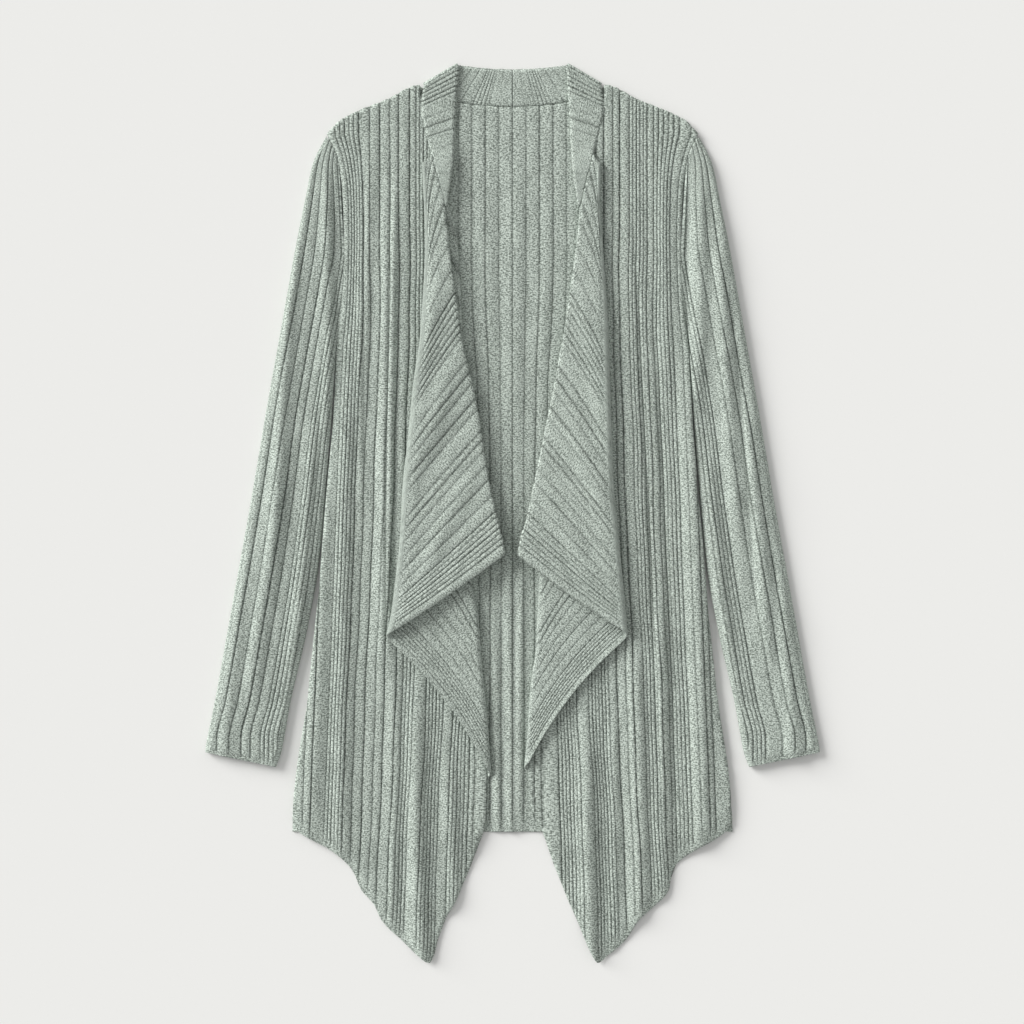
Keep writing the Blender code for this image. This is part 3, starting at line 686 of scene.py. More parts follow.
FRONT_MID = BACK_MID + WALL + LAYER_GAP
SETTLE_Y = BACK_HEM_Y - 3
SETTLE_LENGTH = 34.0
FRONT_FIXED = (92.4, 82.6)
RIGHT_HEM = table(
    "x y",
    (20, -292), (24, -307), (33.5, -327), (39.5, -347), (47.5, -367), (58.5, -392),
    (67.5, -407), (74.5, -427), (78.5, -442), (83, -450), (95.5, -442), (111.5, -427),
    (131.5, -407), (138.5, -392), (151.5, -377), (160.5, -357), (182.5, -337),
    (200.5, -327), (213.5, -319), (220.5, -307),
)
LEFT_HEM = table(
    "x y",
    (11, -274), (15.5, -286), (21.5, -300), (33.5, -327), (39.5, -347), (47.5, -367),
    (57.5, -392), (64.5, -407), (72.5, -427), (79.5, -442), (85.5, -450), (95.5, -443),
    (113.5, -427), (126.5, -407), (143.5, -392), (156.5, -377), (160, -357),
    (183.5, -337), (201.5, -327), (212.5, -319), (219.5, -307),
)
RIGHT_EDGE = table(
    "y x",
    (-42, 8), (-28, 10.2), (8, 19), (33, 24.5), (113, 37.5), (173, 51.5), (205, 55.8),
    (246, 62), (287, 66.5), (312, 69), (335, 74.5), (350, 79.5), (366, 82.5),
)
RIGHT_OUTER = table(
    "y x",
    (-122, 125.2), (-97, 120.5), (-65, 116.5), (-28, 112.5), (33, 109), (63, 105.5),
    (133, 98.5), (173, 92.5), (223, 89), (268, 87), (333, 89.5), (358, 90.5),
)
RIGHT_INNER = table(
    "y x",
    (-266, 21.3), (-222, 24), (-183, 27.7), (-145, 31.5), (-108, 34), (-65, 41),
    (63, 45.5), (173, 48.5), (221, 50.5), (282, 54.5), (308, 63), (335, 71), (366, 82.5),
)
RIGHT_LINES = table(
    "share edge outer inner",
    (0, 358, 350, 335), (0.008, 355, 326, 305), (0.024, 348, 295, 262), (0.04, 335, 272, 226),
    (0.061, 312, 250, 188), (0.091, 283, 226, 150), (0.131, 258, 200, 116),
    (0.203, 222, 156, 60), (0.31, 174, 100, 0), (0.473, 117, 32, -74),
    (0.74, 30, -68, -184), (1, -42, -122, -266),
)
RIGHT_CREASES = table(
    "top_x top_y low_x low_y bow width height",
    (118, 385, 128.5, -215, -1, 11, 6.4), (120, 400, 127.5, -190, 1, 2.2, -3.0),
    (112, 340, 120, -190, 1, 4.6, -4.4), (146, 300, 150, -60, 2, 5, 1.8),
    (146, 390, 149, 10, 1, 2.4, -2.2), (159, 260, 172, -430, 4, 9, 4.6),
    (186, 110, 208, -380, -4, 9, 3.8), (96, -140, 85, -520, 5, 9, 6.2),
    (120, -110, 124, -470, -4, 6, 2.6), (140, 400, 152, 60, 3, 7, 2.4),
    (64, -220, 56, -470, 0, 7, 3.4),
)
RIGHT_LAPEL_CREASES = table(
    "top_x top_y low_x low_y bow width height",
    (60, 255, 96, 150, 4, 8, 2.0), (47, 175, 100, 50, -4, 10, 2.4),
    (36, 110, 112, -20, 5, 9, -1.6), (24, 60, 100, -80, 3, 10, 2.4),
)
LEFT_EDGE = table(
    "y x",
    (-43, 6), (-25, 8.5), (-10, 13.5), (23, 21), (93, 35.5), (183, 52.5), (273, 65.5),
    (310, 70), (335, 75), (350, 79.5), (366, 82.5),
)
LEFT_OUTER = table(
    "y x",
    (-121, 115), (-102, 113.3), (-43, 107.5), (-10, 104.5), (22, 101.3), (93, 98.5),
    (183, 95.5), (263, 90.5), (313, 87.5), (358, 88.5),
)
LEFT_INNER = table(
    "y x",
    (-260, 11.5), (-222, 14.9), (-196, 16.8), (-164, 19.5), (-139, 23.2), (-97, 25.5),
    (-57, 27), (60, 45), (173, 56), (221, 60), (308, 66), (335, 71), (366, 82.5),
)
LEFT_LINES = table(
    "share edge outer inner",
    (0, 358, 350, 335), (0.008, 355, 326, 305), (0.024, 348, 295, 262), (0.04, 335, 270, 224),
    (0.061, 312, 246, 184), (0.091, 284, 221, 146), (0.131, 258, 195, 110),
    (0.203, 222, 150, 50), (0.31, 173, 94, -8), (0.473, 110, 22, -84),
    (0.74, 28, -70, -186), (1, -43, -121, -260),
)
LEFT_CREASES = table(
    "top_x top_y low_x low_y bow width height",
    (116, 380, 138, -180, -3, 15, 3.0), (118, 330, 150, -390, 3, 2.6, -3.0),
    (141, 220, 166, -380, 2, 2.6, -2.6), (170, 230, 192, -430, 4, 10, 4.8),
    (118, -90, 126, -480, 5, 9, 5.4), (148, -40, 152, -440, -3, 8, 4.6),
    (74, -180, 82, -520, -3, 9, 5.8), (98, -170, 100, -470, 3, 5, 2.2),
    (150, 390, 158, 70, -2, 8, 2.6),
)
LEFT_LAPEL_CREASES = table(
    "top_x top_y low_x low_y bow width height",
    (62, 240, 94, 130, -4, 8, 2.2), (50, 160, 101, 30, 4, 9, -1.4),
    (40, 120, 104, -30, 4, 10, 2.4), (20, 40, 100, -90, -3, 9, 2.2),
)
INNER_ROLL = 2.9
INNER_ROLL_TOP = 1.25
INNER_ROLL_BY = 0.6
OUTER_ROLL = 4.3
OUTER_ROLL_START = 0.45
OUTER_FOLD_LIFT = 4.6
EDGE_LIFT = table(
    "share lift", (0, 5), (0.06, 8.4), (0.2, 9.4), (0.45, 8), (0.7, 9), (0.88, 11.5), (1, 13))
MIDDLE_BOW = 0.05
LAPEL_BOW = 0.035
BEND_ROWS = 9
MIDDLE_ROWS = 20
LAPEL_ROWS = 24
MIDDLE_RIB_SHARE = 0.6
FOLD_CLIMB = 0.85
CASCADE_SLANT = math.radians(47)
STEEPEST = 2.0
FOLD_FADE = 15.0
FOLD_RIB_SHARE = 0.25
VALLEY_SHADE_GAIN = 1.6
ROLL_BY = 0.25
CLIMB_BY = 0.125
WAVE_HOLD = 0.75
LAST_ROW = 0.99
RIM_HEIGHT = 0.8
RIM_WIDTH = 3.5
RIGHT_RIBS = table(
    "count width",
    (1, 10), (1, 7.5), (1, 14), (5, 3.5), (1, 8.5), (2, 10), (1, 8.5), (1, 11), (1, 6.5),
    (3, 3.65), (1, 12.6), (5, 3.4), (1, 10.5), (6, 3.6), (1, 7),
)
LEFT_RIBS = table(
    "count width",
    (1, 15), (1, 5.5), (1, 8), (1, 9), (5, 3.8), (1, 6.5), (5, 3.4), (1, 9.5), (1, 6.5),
    (1, 9), (1, 8), (6, 3.25), (1, 12), (6, 3.4), (1, 11), (2, 3.5),
)
LAPEL_RIBS = table(
    "count width depth",
    (5, 3.6, 0.8), (1, 8, 0.5), (2, 10, 0.5), (6, 3.7, 1), (1, 14, 0.8), (2, 7, 0.8),
    (1, 10, 0.7), (1, 7, 0.9), (1, 14, 0.7), (1, 6, 0.9), (1, 7, 0.7), (2, 10, 0.6),
    (2, 12, 0.7), (6, 4.3, 1), (1, 9, 0.8),
)


def front_height(folds, x, y):
    """The middle of a front's wall: on the back, then down on the surface past its hem."""
    past = ease((SETTLE_Y - y) / SETTLE_LENGTH)
    return FRONT_MID + creases(folds, x, y) - past * (FRONT_MID - BACK_MID)


def curved(start, end, t, bow):
    """A point part of the way from start to end in plan, bowed towards the neck."""
    bend = bow * 4 * t * (1 - t)
    return (start[0] + (end[0] - start[0]) * t - bend * abs(end[1] - start[1]),
            start[1] + (end[1] - start[1]) * t + bend * abs(end[0] - start[0]))


def cascade_face(cloth, tables, folds, face, lines):
    """The cascade's middle layer and lapel on one face of the cloth, as rows across it."""
    share, ribs, valley_shades = lines
    shares, edge, outer, inner = tables
    body_folds, lapel_folds = folds
    edge_y, outer_y, inner_y = [read(shares, "share", key, share) for key in ("edge", "outer", "inner")]
    edge_x, outer_x, inner_x = [
        read(rows, "y", "x", y) for rows, y in ((edge, edge_y), (outer, outer_y), (inner, inner_y))]
    half = face * WALL / 2
    roll = OUTER_ROLL * (OUTER_ROLL_START + (1 - OUTER_ROLL_START) * ease(share / ROLL_BY))
    tuck = INNER_ROLL_TOP + (INNER_ROLL - INNER_ROLL_TOP) * ease(share / INNER_ROLL_BY)
    climb = FOLD_CLIMB * ease(share / CLIMB_BY) * math.pi / 2
    rising = climb * np.clip((outer_y - inner_y) / np.maximum(outer_x - inner_x, 1), 0, STEEPEST)
    falling = climb * np.clip((edge_y - outer_y) / np.maximum(outer_x - edge_x, 1), 0, STEEPEST)
    low = front_height(body_folds, inner_x + INNER_ROLL + WALL / 2, inner_y)
    rise = front_height(body_folds, outer_x, outer_y) + OUTER_FOLD_LIFT
    free = FRONT_MID + read(EDGE_LIFT, "share", "lift", share)
    width = sum(LAPEL_RIBS["count"] * LAPEL_RIBS["width"])
    rim = RIM_HEIGHT * np.exp(-((1 - share) * width / RIM_WIDTH) ** 2)
    under = MIDDLE_RIB_SHARE if face < 0 else 0.0
    over = 1.0 if face > 0 else 0.0
    ends = np.where((share < 1e-6) | (share > 1 - 1e-6), 1.0, 0.0)
    rows = []

    def add(x, y, z, depth, way):
        slant = way * CASCADE_SLANT
        # The shade painted into the rib valleys grows with the rib depth, up to its full strength.
        rows.append(cloth.row(
            x, y, z, ribs * depth, valley_shades * np.minimum(1.0, depth * VALLEY_SHADE_GAIN),
            (x + z) * math.cos(slant) + y * math.sin(slant),
            (x + z) * math.sin(slant) - y * math.cos(slant)))

    def inner_mid(y):
        return read(inner, "y", "x", y) + INNER_ROLL + WALL / 2

    def outer_mid(y):
        return read(outer, "y", "x", y) - roll - WALL / 2

    for turn in np.linspace(-1, 1, BEND_ROWS)[1:-1]:
        reach = tuck - half
        swing = turn * math.pi / 2
        y = inner_y + tuck * rising * (turn + 1)
        add(inner_mid(y) - reach * math.cos(swing), y, low + tuck + reach * math.sin(swing),
            under * (1 + turn) / 2, -1)
    start_y, turn_y = inner_y + 2 * tuck * rising, outer_y - roll * rising
    start, turned = (inner_mid(start_y), start_y), (outer_mid(turn_y), turn_y)
    for t in np.linspace(0, 1, MIDDLE_ROWS):
        x, y = curved(start, turned, t, MIDDLE_BOW)
        z = low + 2 * tuck + (rise - low - 2 * tuck) * t + rim
        add(x, y, z - half + face * EDGE_ROUND * ends, under, -1)
    for turn in np.linspace(-1, 1, BEND_ROWS)[1:-1]:
        reach = roll + half
        swing = turn * math.pi / 2
        y = outer_y + roll * turn * np.where(turn < 0, rising, falling)
        add(outer_mid(y) + reach * math.cos(swing), y,
            rise + roll + reach * math.sin(swing) - rim * turn,
            FOLD_RIB_SHARE * over * (1 + turn) / 2, turn)
    lapel_y = outer_y + roll * falling
    begun, finished = (outer_mid(lapel_y), lapel_y), (edge_x, edge_y)
    reach = np.hypot(edge_x - begun[0], edge_y - begun[1])
    for t in [*np.linspace(0, 1, LAPEL_ROWS)[:-1], LAST_ROW, 1.0]:
        x, y = curved(begun, finished, t, -LAPEL_BOW)
        wave = creases(lapel_folds, x, y) * math.sin(math.pi * min(t, WAVE_HOLD))
        z = rise + 2 * roll + (free - rise - 2 * roll) * t + wave * ease(share / ROLL_BY) - rim
        drop = EDGE_ROUND * np.maximum(ends, float(t == 1.0))
        shown = over * (FOLD_RIB_SHARE + (1 - FOLD_RIB_SHARE) * ease(t * reach / FOLD_FADE))
        add(x, y, z + half - face * drop, shown, 1)
    return rows


def add_front(name, node, side, hem, ribs, tables, folds):
    """A front: its body layer, then the cascade that folds out of its inner edge."""
    cloth = Cloth(side)
    lines, edge, outer, inner = tables
    mid = INNER_ROLL + WALL / 2
    start_y, end_y = lines["inner"][0], lines["inner"][-1]
    meet_x = float(read(inner, "y", "x", start_y)) + mid
    widest = place_of(front_column, hem["x"][-1] - EDGE_TRIM, hem["y"][-1])
    least = place_of(front_column, read(inner, "y", "x", end_y) + mid, end_y)
    point = place_of(front_column, hem["x"][np.argmin(hem["y"])], float(np.min(hem["y"])))
    hole = float(read(ARMHOLE, "y", "x", UNDERARM_Y))

    def tops(x):
        return np.where(x > SHOULDER["x"][0], read(SHOULDER, "x", "y", x),
                        read(inner, "x", "y", x - mid))

    def face_of(face, panel_lines, cascade_lines):
        places = panel_lines[0].copy()
        for fixed in (hole, *FRONT_FIXED, meet_x):
            places[np.argmin(np.abs(places - fixed))] = fixed
        columns, outline = body_panel(
            cloth, front_column, (places, *panel_lines[1:]), tops,
            lambda x: read(hem, "x", "y", x), lambda x, y: front_height(folds[0], x, y), face,
            lambda place: place > point, lambda place: place > meet_x)
        first = int(np.sum(places > meet_x + 1e-6)) - int(np.sum(places > hole + 1e-6))
        upper, fold = outline["tops"][: first + 1], outline["tops"][first:]
        rows = [fold] + cascade_face(cloth, tables, folds, face, cascade_lines)
        cloth.join_all(rows)
        outline.update(tops=upper, slit=[row[0] for row in rows], front=columns[-1],
                       edge=[row[-1] for row in rows], free=rows[-1])
        return outline

    shares = rib_lines(LAPEL_RIBS, 0, 1)
    outside = face_of(1, rib_lines(ribs, widest, least), shares)
    inside = face_of(-1, plain_lines(widest, least, hole, *FRONT_FIXED, meet_x), shares)
    for border in outside:
        cloth.bind(outside[border], inside[border])
    piece = finish_cloth(name, cloth, RIGHT_SIDE)
    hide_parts(node)


add_front("cascade_front_right", "front_right", -1.0, RIGHT_HEM, RIGHT_RIBS,
          (RIGHT_LINES, RIGHT_EDGE, RIGHT_OUTER, RIGHT_INNER),
          (RIGHT_CREASES, RIGHT_LAPEL_CREASES))
add_front("cascade_front_left", "front_left", 1.0, LEFT_HEM, LEFT_RIBS,
          (LEFT_LINES, LEFT_EDGE, LEFT_OUTER, LEFT_INNER),
          (LEFT_CREASES, LEFT_LAPEL_CREASES))

# Sleeves.
# Each is one piece of rib knit sewn to a tube and set into the armhole. It lies flat
# beside the body, a little filled by its own folded edges, with a plain turned cuff.

SEAM_GAP = 0.9
SLEEVE = table(
    "outer_x outer_y inner_x inner_y",
    (186.5, 377, 175.4, 167), (199.5, 350, 176.2, 158), (207.5, 313, 177.2, 145),
    (217.5, 263, 178.6, 125), (226.5, 213, 180.6, 96), (234.5, 168, 183.2, 62),
    (244.5, 113, 186.8, 20), (261.5, 13, 193.7, -51), (279.5, -87, 205, -115),
    (297.5, -187, 221.5, -187), (306, -229, 231.5, -240), (307.5, -239, 236.5, -254),
)
SLEEVE_FLAT = WALL + LAYER_GAP
SLEEVE_ROOM = 5.2
SLEEVE_FILL_BY = 0.3
SLEEVE_STRAIGHT_BY = 0.12
SLEEVE_STATIONS = 128
SLEEVE_SIDE_ROWS = 9
SLEEVE_LENGTH = 635.0
CUFF_FADE = 46.0
SLEEVE_TIP_HOLD = 4
SLEEVE_SEAM_HOLD = 50
SLEEVE_HOLD_FADE = 6
SLEEVE_END_SHARE = 0.0013
SLEEVE_BELOW = 20
LEAST_STEP = 0.02
SLEEVE_SEARCH = 240
SLEEVE_SOFT_EDGE = 7.0
RIB_FADE = 1.5
SLEEVE_ACROSS = 80.0
SLEEVE_OUTER = table(
    "y x scale",
    (-254, 306.5, 1), (-227, 306.5, 1), (-187, 297.5, 1), (-97, 281.5, 1), (13, 261.5, 0.94),
    (103, 246.5, 0.88), (168, 234.5, 0.87), (213, 226.5, 0.88), (248, 220.3, 0.88),
    (313, 207.5, 0.65), (348, 199.8, 0.45), (378, 188.5, 0.3),
)
SLEEVE_RIGHT_RIBS = table("count width", (1, 3), (4, 4.6), (1, 4), (1, 10), (1, 9.5), (2, 12),
                          (1, 11.5))
SLEEVE_LEFT_RIBS = table("count width", (1, 9), (1, 5), (2, 4.3), (1, 3.7), (1, 17), (1, 12.5),
                         (1, 11), (1, 11.5), (1, 2))
SLEEVE_RIGHT_CREASES = table(
    "top_x top_y low_x low_y bow width height",
    (184, 378, 175.5, 110, -2, 4, -2.2), (186, 385, 190, 60, -4, 7, 5.2),
    (190, 130, 220, -190, 3, 7, 4.4), (180, 300, 206, -60, -2, 4, -1.8),
    (212, 330, 240, -110, 4, 7, 4.0), (228, 100, 268, -225, -3, 8, 3.8),
    (262, -10, 292, -300, 3, 7, 2.2),
    (246, 20, 214, -30, 3, 5, 1.4), (262, -50, 222, -84, -2, 5, 1.2),
    (236, 150, 205, 118, 2, 6, 1.3),
)
SLEEVE_LEFT_CREASES = table(
    "top_x top_y low_x low_y bow width height",
    (176, 370, 170.5, 80, 2, 4, -2.2), (187, 374, 183, 70, 2, 7, 3.8),
    (205, 320, 232, -80, -4, 7, 4.2), (226, 140, 258, -180, 4, 8, 4.4),
    (194, 80, 224, -200, -3, 6, 3.4), (268, -40, 290, -310, -3, 7, 3.0),
    (214, 250, 246, -120, 2, 3, -2.0),
    (250, 40, 212, 2, -3, 5, 1.4), (258, -30, 220, -70, 2, 6, 1.3),
    (232, 190, 200, 150, 3, 6, 1.4),
)


def body_edge(y):
    """How far the body reaches at a height: to the armhole, or below it to the side seam."""
    return np.where(y >= UNDERARM_Y, read(ARMHOLE, "y", "x", y), read(SIDE, "y", "x", y)) + SEAM_GAP


def sleeve_ring(cloth, share, face, lines, folds):
    """One ring of a flattened sleeve, from its inner edge over the top and back below."""
    at = np.linspace(0, 1, len(SLEEVE["outer_x"]))
    outer_x, outer_y, inner_x, inner_y = [
        float(read({"s": at, "v": SLEEVE[name]}, "s", "v", share))
        for name in ("outer_x", "outer_y", "inner_x", "inner_y")]
    wide = math.dist((outer_x, outer_y), (inner_x, inner_y))
    height = SLEEVE_FLAT + (SLEEVE_ROOM - SLEEVE_FLAT) * float(ease(share / SLEEVE_FILL_BY))
    radius, half = height / 2, WALL / 2
    start, end = radius + half, wide - radius - half
    reach = radius + face * half
    settled = float(ease(share / SLEEVE_STRAIGHT_BY))
    hold = SLEEVE_TIP_HOLD + SLEEVE_SEAM_HOLD * (1 - settled) ** SLEEVE_HOLD_FADE

    def plan(across):
        x = inner_x + (outer_x - inner_x) * across / wide
        y = inner_y + (outer_y - inner_y) * across / wide
        pull = (1 - settled) * (1 - np.clip(across / wide, 0, 1) ** hold)
        return x + (body_edge(y) - x) * pull, y

    distance, ribs, valley_shades = lines
    search = np.linspace(start, end, SLEEVE_SEARCH)
    x, y = plan(search)
    away = np.minimum.accumulate(
        (read(SLEEVE_OUTER, "y", "x", y) - x) / read(SLEEVE_OUTER, "y", "scale", y))
    apart = np.arange(len(distance)) * LEAST_STEP
    top = np.interp(-distance, -away, search)
    top = np.minimum(np.maximum(top, start + apart), end - apart[::-1])
    shown = np.clip((away[0] - distance) / RIB_FADE, 0, 1)
    shown = shown * np.clip((distance - away[-1]) / RIB_FADE, 0, 1)
    side_turns = np.linspace(0, math.pi, SLEEVE_SIDE_ROWS)[1:-1]
    below = np.linspace(end, start, SLEEVE_BELOW)
    x, y = plan(np.concatenate([
        top, end + reach * np.sin(side_turns), below, start - reach * np.sin(side_turns)]))
    soft = ease((top - start) / SLEEVE_SOFT_EDGE) * ease((end - top) / SLEEVE_SOFT_EDGE)
    fold = creases(folds, x[: len(top)], y[: len(top)]) * soft
    z = np.concatenate([
        half + height + face * half + fold, half + radius + reach * np.cos(side_turns),
        half - face * half + 0 * below, half + radius - reach * np.cos(side_turns)])
    rest = np.zeros(len(x) - len(top))
    cuff = ease((1 - share) * SLEEVE_LENGTH / CUFF_FADE)
    # The ribs and the shade painted into their valleys fade out towards the cuff.
    rib = np.concatenate([ribs * shown, rest]) * cuff
    valley = np.concatenate([valley_shades * shown, rest]) * cuff
    steps = np.hypot(np.hypot(np.diff(x), np.diff(y)), np.diff(z))
    travel = SLEEVE_ACROSS + np.cumsum(steps[len(top) - 1:])
    travel[-len(side_turns):] -= travel[-1]
    middle = half + radius
    z = middle + (z - middle) * (1 - face * EDGE_ROUND * float(share in (0.0, 1.0)) / (radius + half))
    return cloth.row(x, y, z, rib, valley,
                     np.concatenate([SLEEVE_ACROSS - distance, travel]), -y)


def add_sleeve(name, node, side, ribs, folds):
    """A sleeve: one tube laid flat, open at the armhole and at the cuff."""
    cloth = Cloth(side)
    plain = (np.linspace(SLEEVE_ACROSS, 0, SLEEVE_BELOW), np.zeros(SLEEVE_BELOW),
             np.zeros(SLEEVE_BELOW))
    shares = np.concatenate([
        [0.0, SLEEVE_END_SHARE], np.linspace(0, 1, SLEEVE_STATIONS)[1:-1],
        [1 - SLEEVE_END_SHARE, 1.0]])
    ends = []
    for face, lines in ((1, rib_lines(ribs, SLEEVE_ACROSS, 0)), (-1, plain)):
        rings = [sleeve_ring(cloth, float(share), face, lines, folds) for share in shares]
        for one, other in zip(rings, rings[1:]):
            cloth.lace(one, other)
        ends.append((rings[0], rings[-1]))
    for outside, inside in zip(*ends):
        cloth.bind(outside, inside, closed=True)
    piece = finish_cloth(name, cloth, RIGHT_SIDE)
    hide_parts(node)


add_sleeve("sleeve_tube_right", "sleeve_right", -1.0, SLEEVE_RIGHT_RIBS, SLEEVE_RIGHT_CREASES)
add_sleeve("sleeve_tube_left", "sleeve_left", 1.0, SLEEVE_LEFT_RIBS, SLEEVE_LEFT_CREASES)

# Neckband.
# One strip of the same knit, its ribs across its width, sewn round the neck from one
# front to the other. It tapers to a tip on each front and folds over at the shoulders.

BAND_SEAM = table("y x", (311.5, 68.2), (335, 73.7), (350, 78.7), (366, 81.8), (378, 85.8),
                  (407, 90.9), (427.5, 88))
BAND_FREE = table("y x", (306, 66.4), (353, 60), (403, 57.5), (447.5, 54))
BAND_HEIGHT = table("y z", (306, 11.3), (335, 11), (350, 9.2), (366, 5.6), (385, 4.2),
                    (407, 4.2), (427, 5.2))
BAND_BACK_SEAM = table("x y", (0, 406.7), (30, 408), (57.5, 413), (75, 420.2), (88, 427.9))
BAND_BACK_TOP = table("x y", (0, 443), (30, 444.5), (54, 447.5))
BAND_FOLD_SEAM = (88, 427.5)
BAND_FOLD_FREE = (54, 447.5)
BAND_FOLD_OUT = (0.533, 0.846)
BAND_ROWS = 16
BAND_MAP_WIDTH = 40
BAND_MAP_FRONT = 120
BAND_MAP_BACK = 88
BAND_MAP_END = 218
BAND_BACK_SHARE = 0.8
BAND_WEDGE_RIBS = table(
    "count width depth", (1, 10, 0.15), (1, 14, 0.4), (1, 22, 0.25), (1, 12, 0.35),
    (2, 8, 0.6), (1, 12, 0.3), (5, 3.8, 0.9))
BAND_BACK_RIBS = table(
    "count width depth", (3, 4.2, 0.9), (1, 11, 0.6), (2, 12, 0.5), (4, 4, 0.8), (1, 11.6, 0.5),
    (1, 11.6, 0.12))


def band_rows(cloth, face, wedge_lines, back_lines, mirror):
    """The band from one tip to the centre of the back neck, as rows across its width."""
    half = face * WALL / 2
    across = np.linspace(0, 1, BAND_ROWS)
    ends = EDGE_ROUND * np.where((across == 0) | (across == 1), 1.0, 0.0)
    cloth.side = mirror
    rows = []
    shares, ribs, valley_shades = wedge_lines
    shown = 1.0 if face > 0 else 0.0
    for share, rib, valley in zip(shares, ribs, valley_shades):
        seam_y = BAND_SEAM["y"][0] + (BAND_FOLD_SEAM[1] - BAND_SEAM["y"][0]) * share
        free_y = BAND_FREE["y"][0] + (BAND_FOLD_FREE[1] - BAND_FREE["y"][0]) * share
        seam_x, free_x = read(BAND_SEAM, "y", "x", seam_y), read(BAND_FREE, "y", "x", free_y)
        low, high = [read(BAND_HEIGHT, "y", "z", y) for y in (seam_y, free_y)]
        drop = np.maximum(ends, EDGE_ROUND * float(share == 0.0))
        rows.append(cloth.row(
            seam_x + (free_x - seam_x) * across, seam_y + (free_y - seam_y) * across,
            low + (high - low) * across + half - face * drop,
            rib * shown, valley * shown, mirror * share * BAND_MAP_FRONT, across * BAND_MAP_WIDTH))
    radius = (float(BAND_HEIGHT["z"][-1]) - BACK_MID) / 2
    for turn in np.linspace(math.pi / 2, -math.pi / 2, BEND_ROWS)[1:-1]:
        reach = (radius + half) * math.cos(turn)
        z = BACK_MID + radius + (radius + half) * math.sin(turn)
        corner = [(x + BAND_FOLD_OUT[0] * reach, y + BAND_FOLD_OUT[1] * reach)
                  for x, y in (BAND_FOLD_SEAM, BAND_FOLD_FREE)]
        rows.append(cloth.row(
            corner[0][0] + (corner[1][0] - corner[0][0]) * across,
            corner[0][1] + (corner[1][1] - corner[0][1]) * across,
            z - face * ends * math.sin(turn), 0.0, 0.0,
            mirror * (BAND_MAP_FRONT + math.pi - 2 * turn), across * BAND_MAP_WIDTH))
    shown = BAND_BACK_SHARE if face < 0 else 0.0
    for share, rib, valley in zip(*back_lines):
        seam_x, free_x = BAND_FOLD_SEAM[0] * (1 - share), BAND_FOLD_FREE[0] * (1 - share)
        seam_y = read(BAND_BACK_SEAM, "x", "y", seam_x)
        free_y = read(BAND_BACK_TOP, "x", "y", free_x)
        rows.append(cloth.row(
            seam_x + (free_x - seam_x) * across, seam_y + (free_y - seam_y) * across,
            BACK_MID - half + face * ends, rib * shown, valley * shown,
            mirror * (BAND_MAP_END - BAND_MAP_BACK * (1 - share)), across * BAND_MAP_WIDTH))
    return rows


band = Cloth()
band_sides = []
for face in (1, -1):
    wedge, nape = rib_lines(BAND_WEDGE_RIBS, 0, 1), rib_lines(BAND_BACK_RIBS, 0, 1)
    one = band_rows(band, face, wedge, nape, 1.0)
    other = band_rows(band, face, wedge, [line[:-1] for line in nape], -1.0)
    whole = one + other[::-1]
    band.join_all(whole)
    band_sides.append((whole[0], whole[-1], [row[0] for row in whole], [row[-1] for row in whole]))
for outside, inside in zip(*band_sides):
    band.bind(outside, inside)
neckband = finish_cloth("neckband_strip", band, RIGHT_SIDE)
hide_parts("neckband")

# Surface, light and camera.
# The cardigan lies on a plain pale surface under soft light from the upper left, seen
# from straight above.

FLOOR_HALF = 4.0
FLOOR_DROP = 0.0003
PAPER_SHADE = (0.80, 0.80, 0.785, 1)
PAPER_LIGHT = (0.82, 0.82, 0.805, 1)
PAPER_GRAIN = 900.0
PAPER_ROUGHNESS = 0.95
PAPER_SHINE = 0.1
CAMERA_LENS = 85.0
CAMERA_SENSOR = 36.0
FRAME_WIDTH = 1.024
SHOWN_LEVEL = 0.004
FRAME_MIDDLE = (-0.0005, 0.001)
SUN_FROM = (-2.0, 1.3, 1.0)
SUN_ENERGY = 4.03
SUN_SOFTNESS = 34.0
SUN_COLOUR = (1.0, 0.995, 0.985)
SKY_STRENGTH = 0.54
SKY_COLOUR = (1.0, 1.0, 0.995, 1.0)
NEAREST_SHOWN = 0.05
FARTHEST_SHOWN = 50.0
VIEW = "Standard"

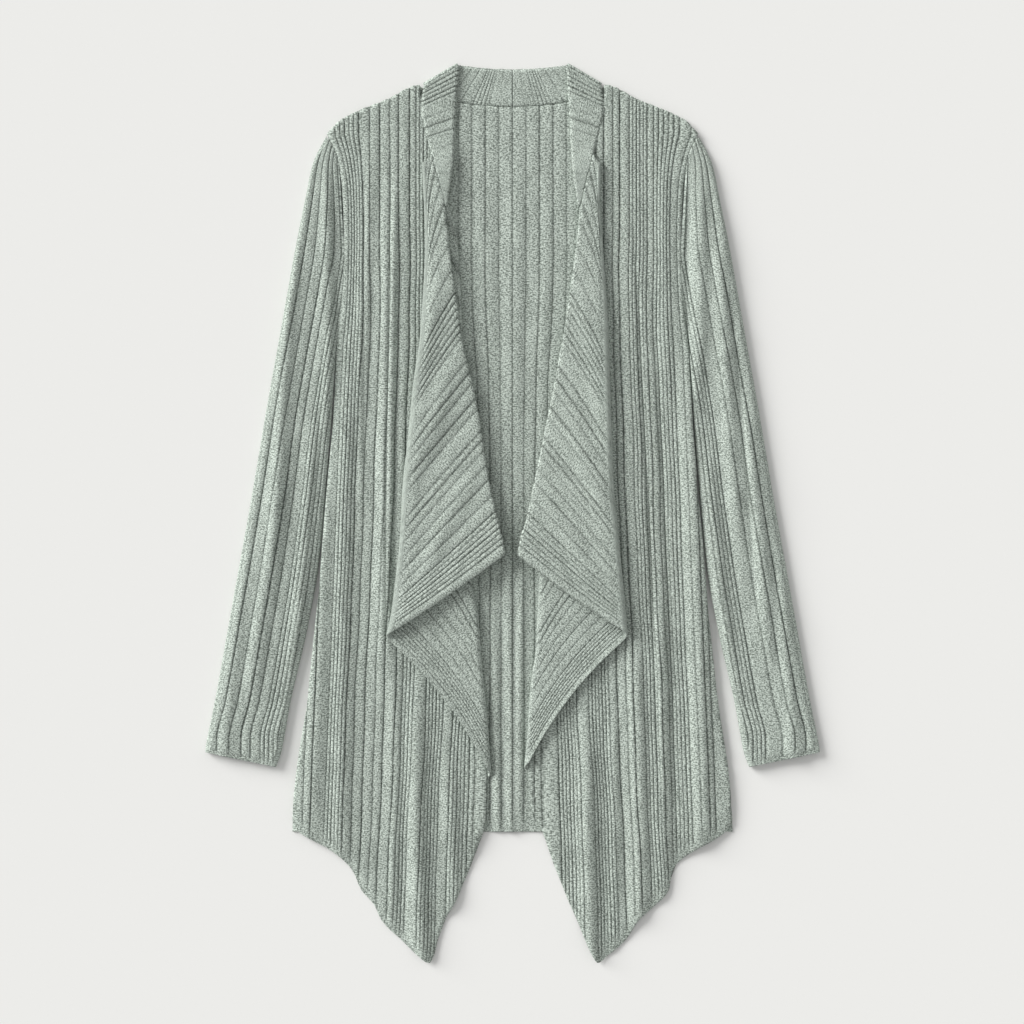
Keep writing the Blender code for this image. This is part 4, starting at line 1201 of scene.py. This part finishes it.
floor_mesh = bpy.data.meshes.new("floor")
floor_mesh.from_pydata(
    [(x * FLOOR_HALF, y * FLOOR_HALF, -FLOOR_DROP) for x, y in ((-1, -1), (1, -1), (1, 1), (-1, 1))],
    [], [(0, 1, 2, 3)])
floor = bpy.data.objects.new("floor", floor_mesh)
bpy.context.scene.collection.objects.link(floor)
paper = bpy.data.materials.new("pale_surface")
paper.use_nodes = True
paper_tree = paper.node_tree
paper_finish = paper_tree.nodes["Principled BSDF"]
paper_spots = paper_tree.nodes.new("ShaderNodeTexCoord")
paper_grain = paper_tree.nodes.new("ShaderNodeTexNoise")
paper_grain.inputs["Scale"].default_value = PAPER_GRAIN
paper_tree.links.new(paper_spots.outputs["Object"], paper_grain.inputs["Vector"])
paper_tree.links.new(
    blend_node(paper_tree, paper_grain.outputs["Fac"], PAPER_SHADE, PAPER_LIGHT),
    paper_finish.inputs["Base Color"])
paper_finish.inputs["Roughness"].default_value = PAPER_ROUGHNESS
paper_finish.inputs["Specular IOR Level"].default_value = PAPER_SHINE
floor_mesh.materials.append(paper)

bpy.context.scene.view_settings.view_transform = VIEW
world = bpy.data.worlds.new("studio")
bpy.context.scene.world = world
world.use_nodes = True
sky = world.node_tree.nodes["Background"]
sky.inputs["Color"].default_value = SKY_COLOUR
sky.inputs["Strength"].default_value = SKY_STRENGTH

sun = bpy.data.lights.new("window", "SUN")
sun.energy = SUN_ENERGY
sun.angle = math.radians(SUN_SOFTNESS)
sun.color = SUN_COLOUR
sun_object = bpy.data.objects.new("window", sun)
sun_object.rotation_euler = Vector(SUN_FROM).to_track_quat("Z", "Y").to_euler()
bpy.context.scene.collection.objects.link(sun_object)

lens = bpy.data.cameras.new("camera")
lens.lens = CAMERA_LENS
lens.sensor_width = CAMERA_SENSOR
lens.clip_start = NEAREST_SHOWN
lens.clip_end = FARTHEST_SHOWN
camera = bpy.data.objects.new("camera", lens)
camera.location = (*FRAME_MIDDLE, SHOWN_LEVEL + FRAME_WIDTH * CAMERA_LENS / CAMERA_SENSOR)
bpy.context.scene.collection.objects.link(camera)
bpy.context.scene.camera = camera
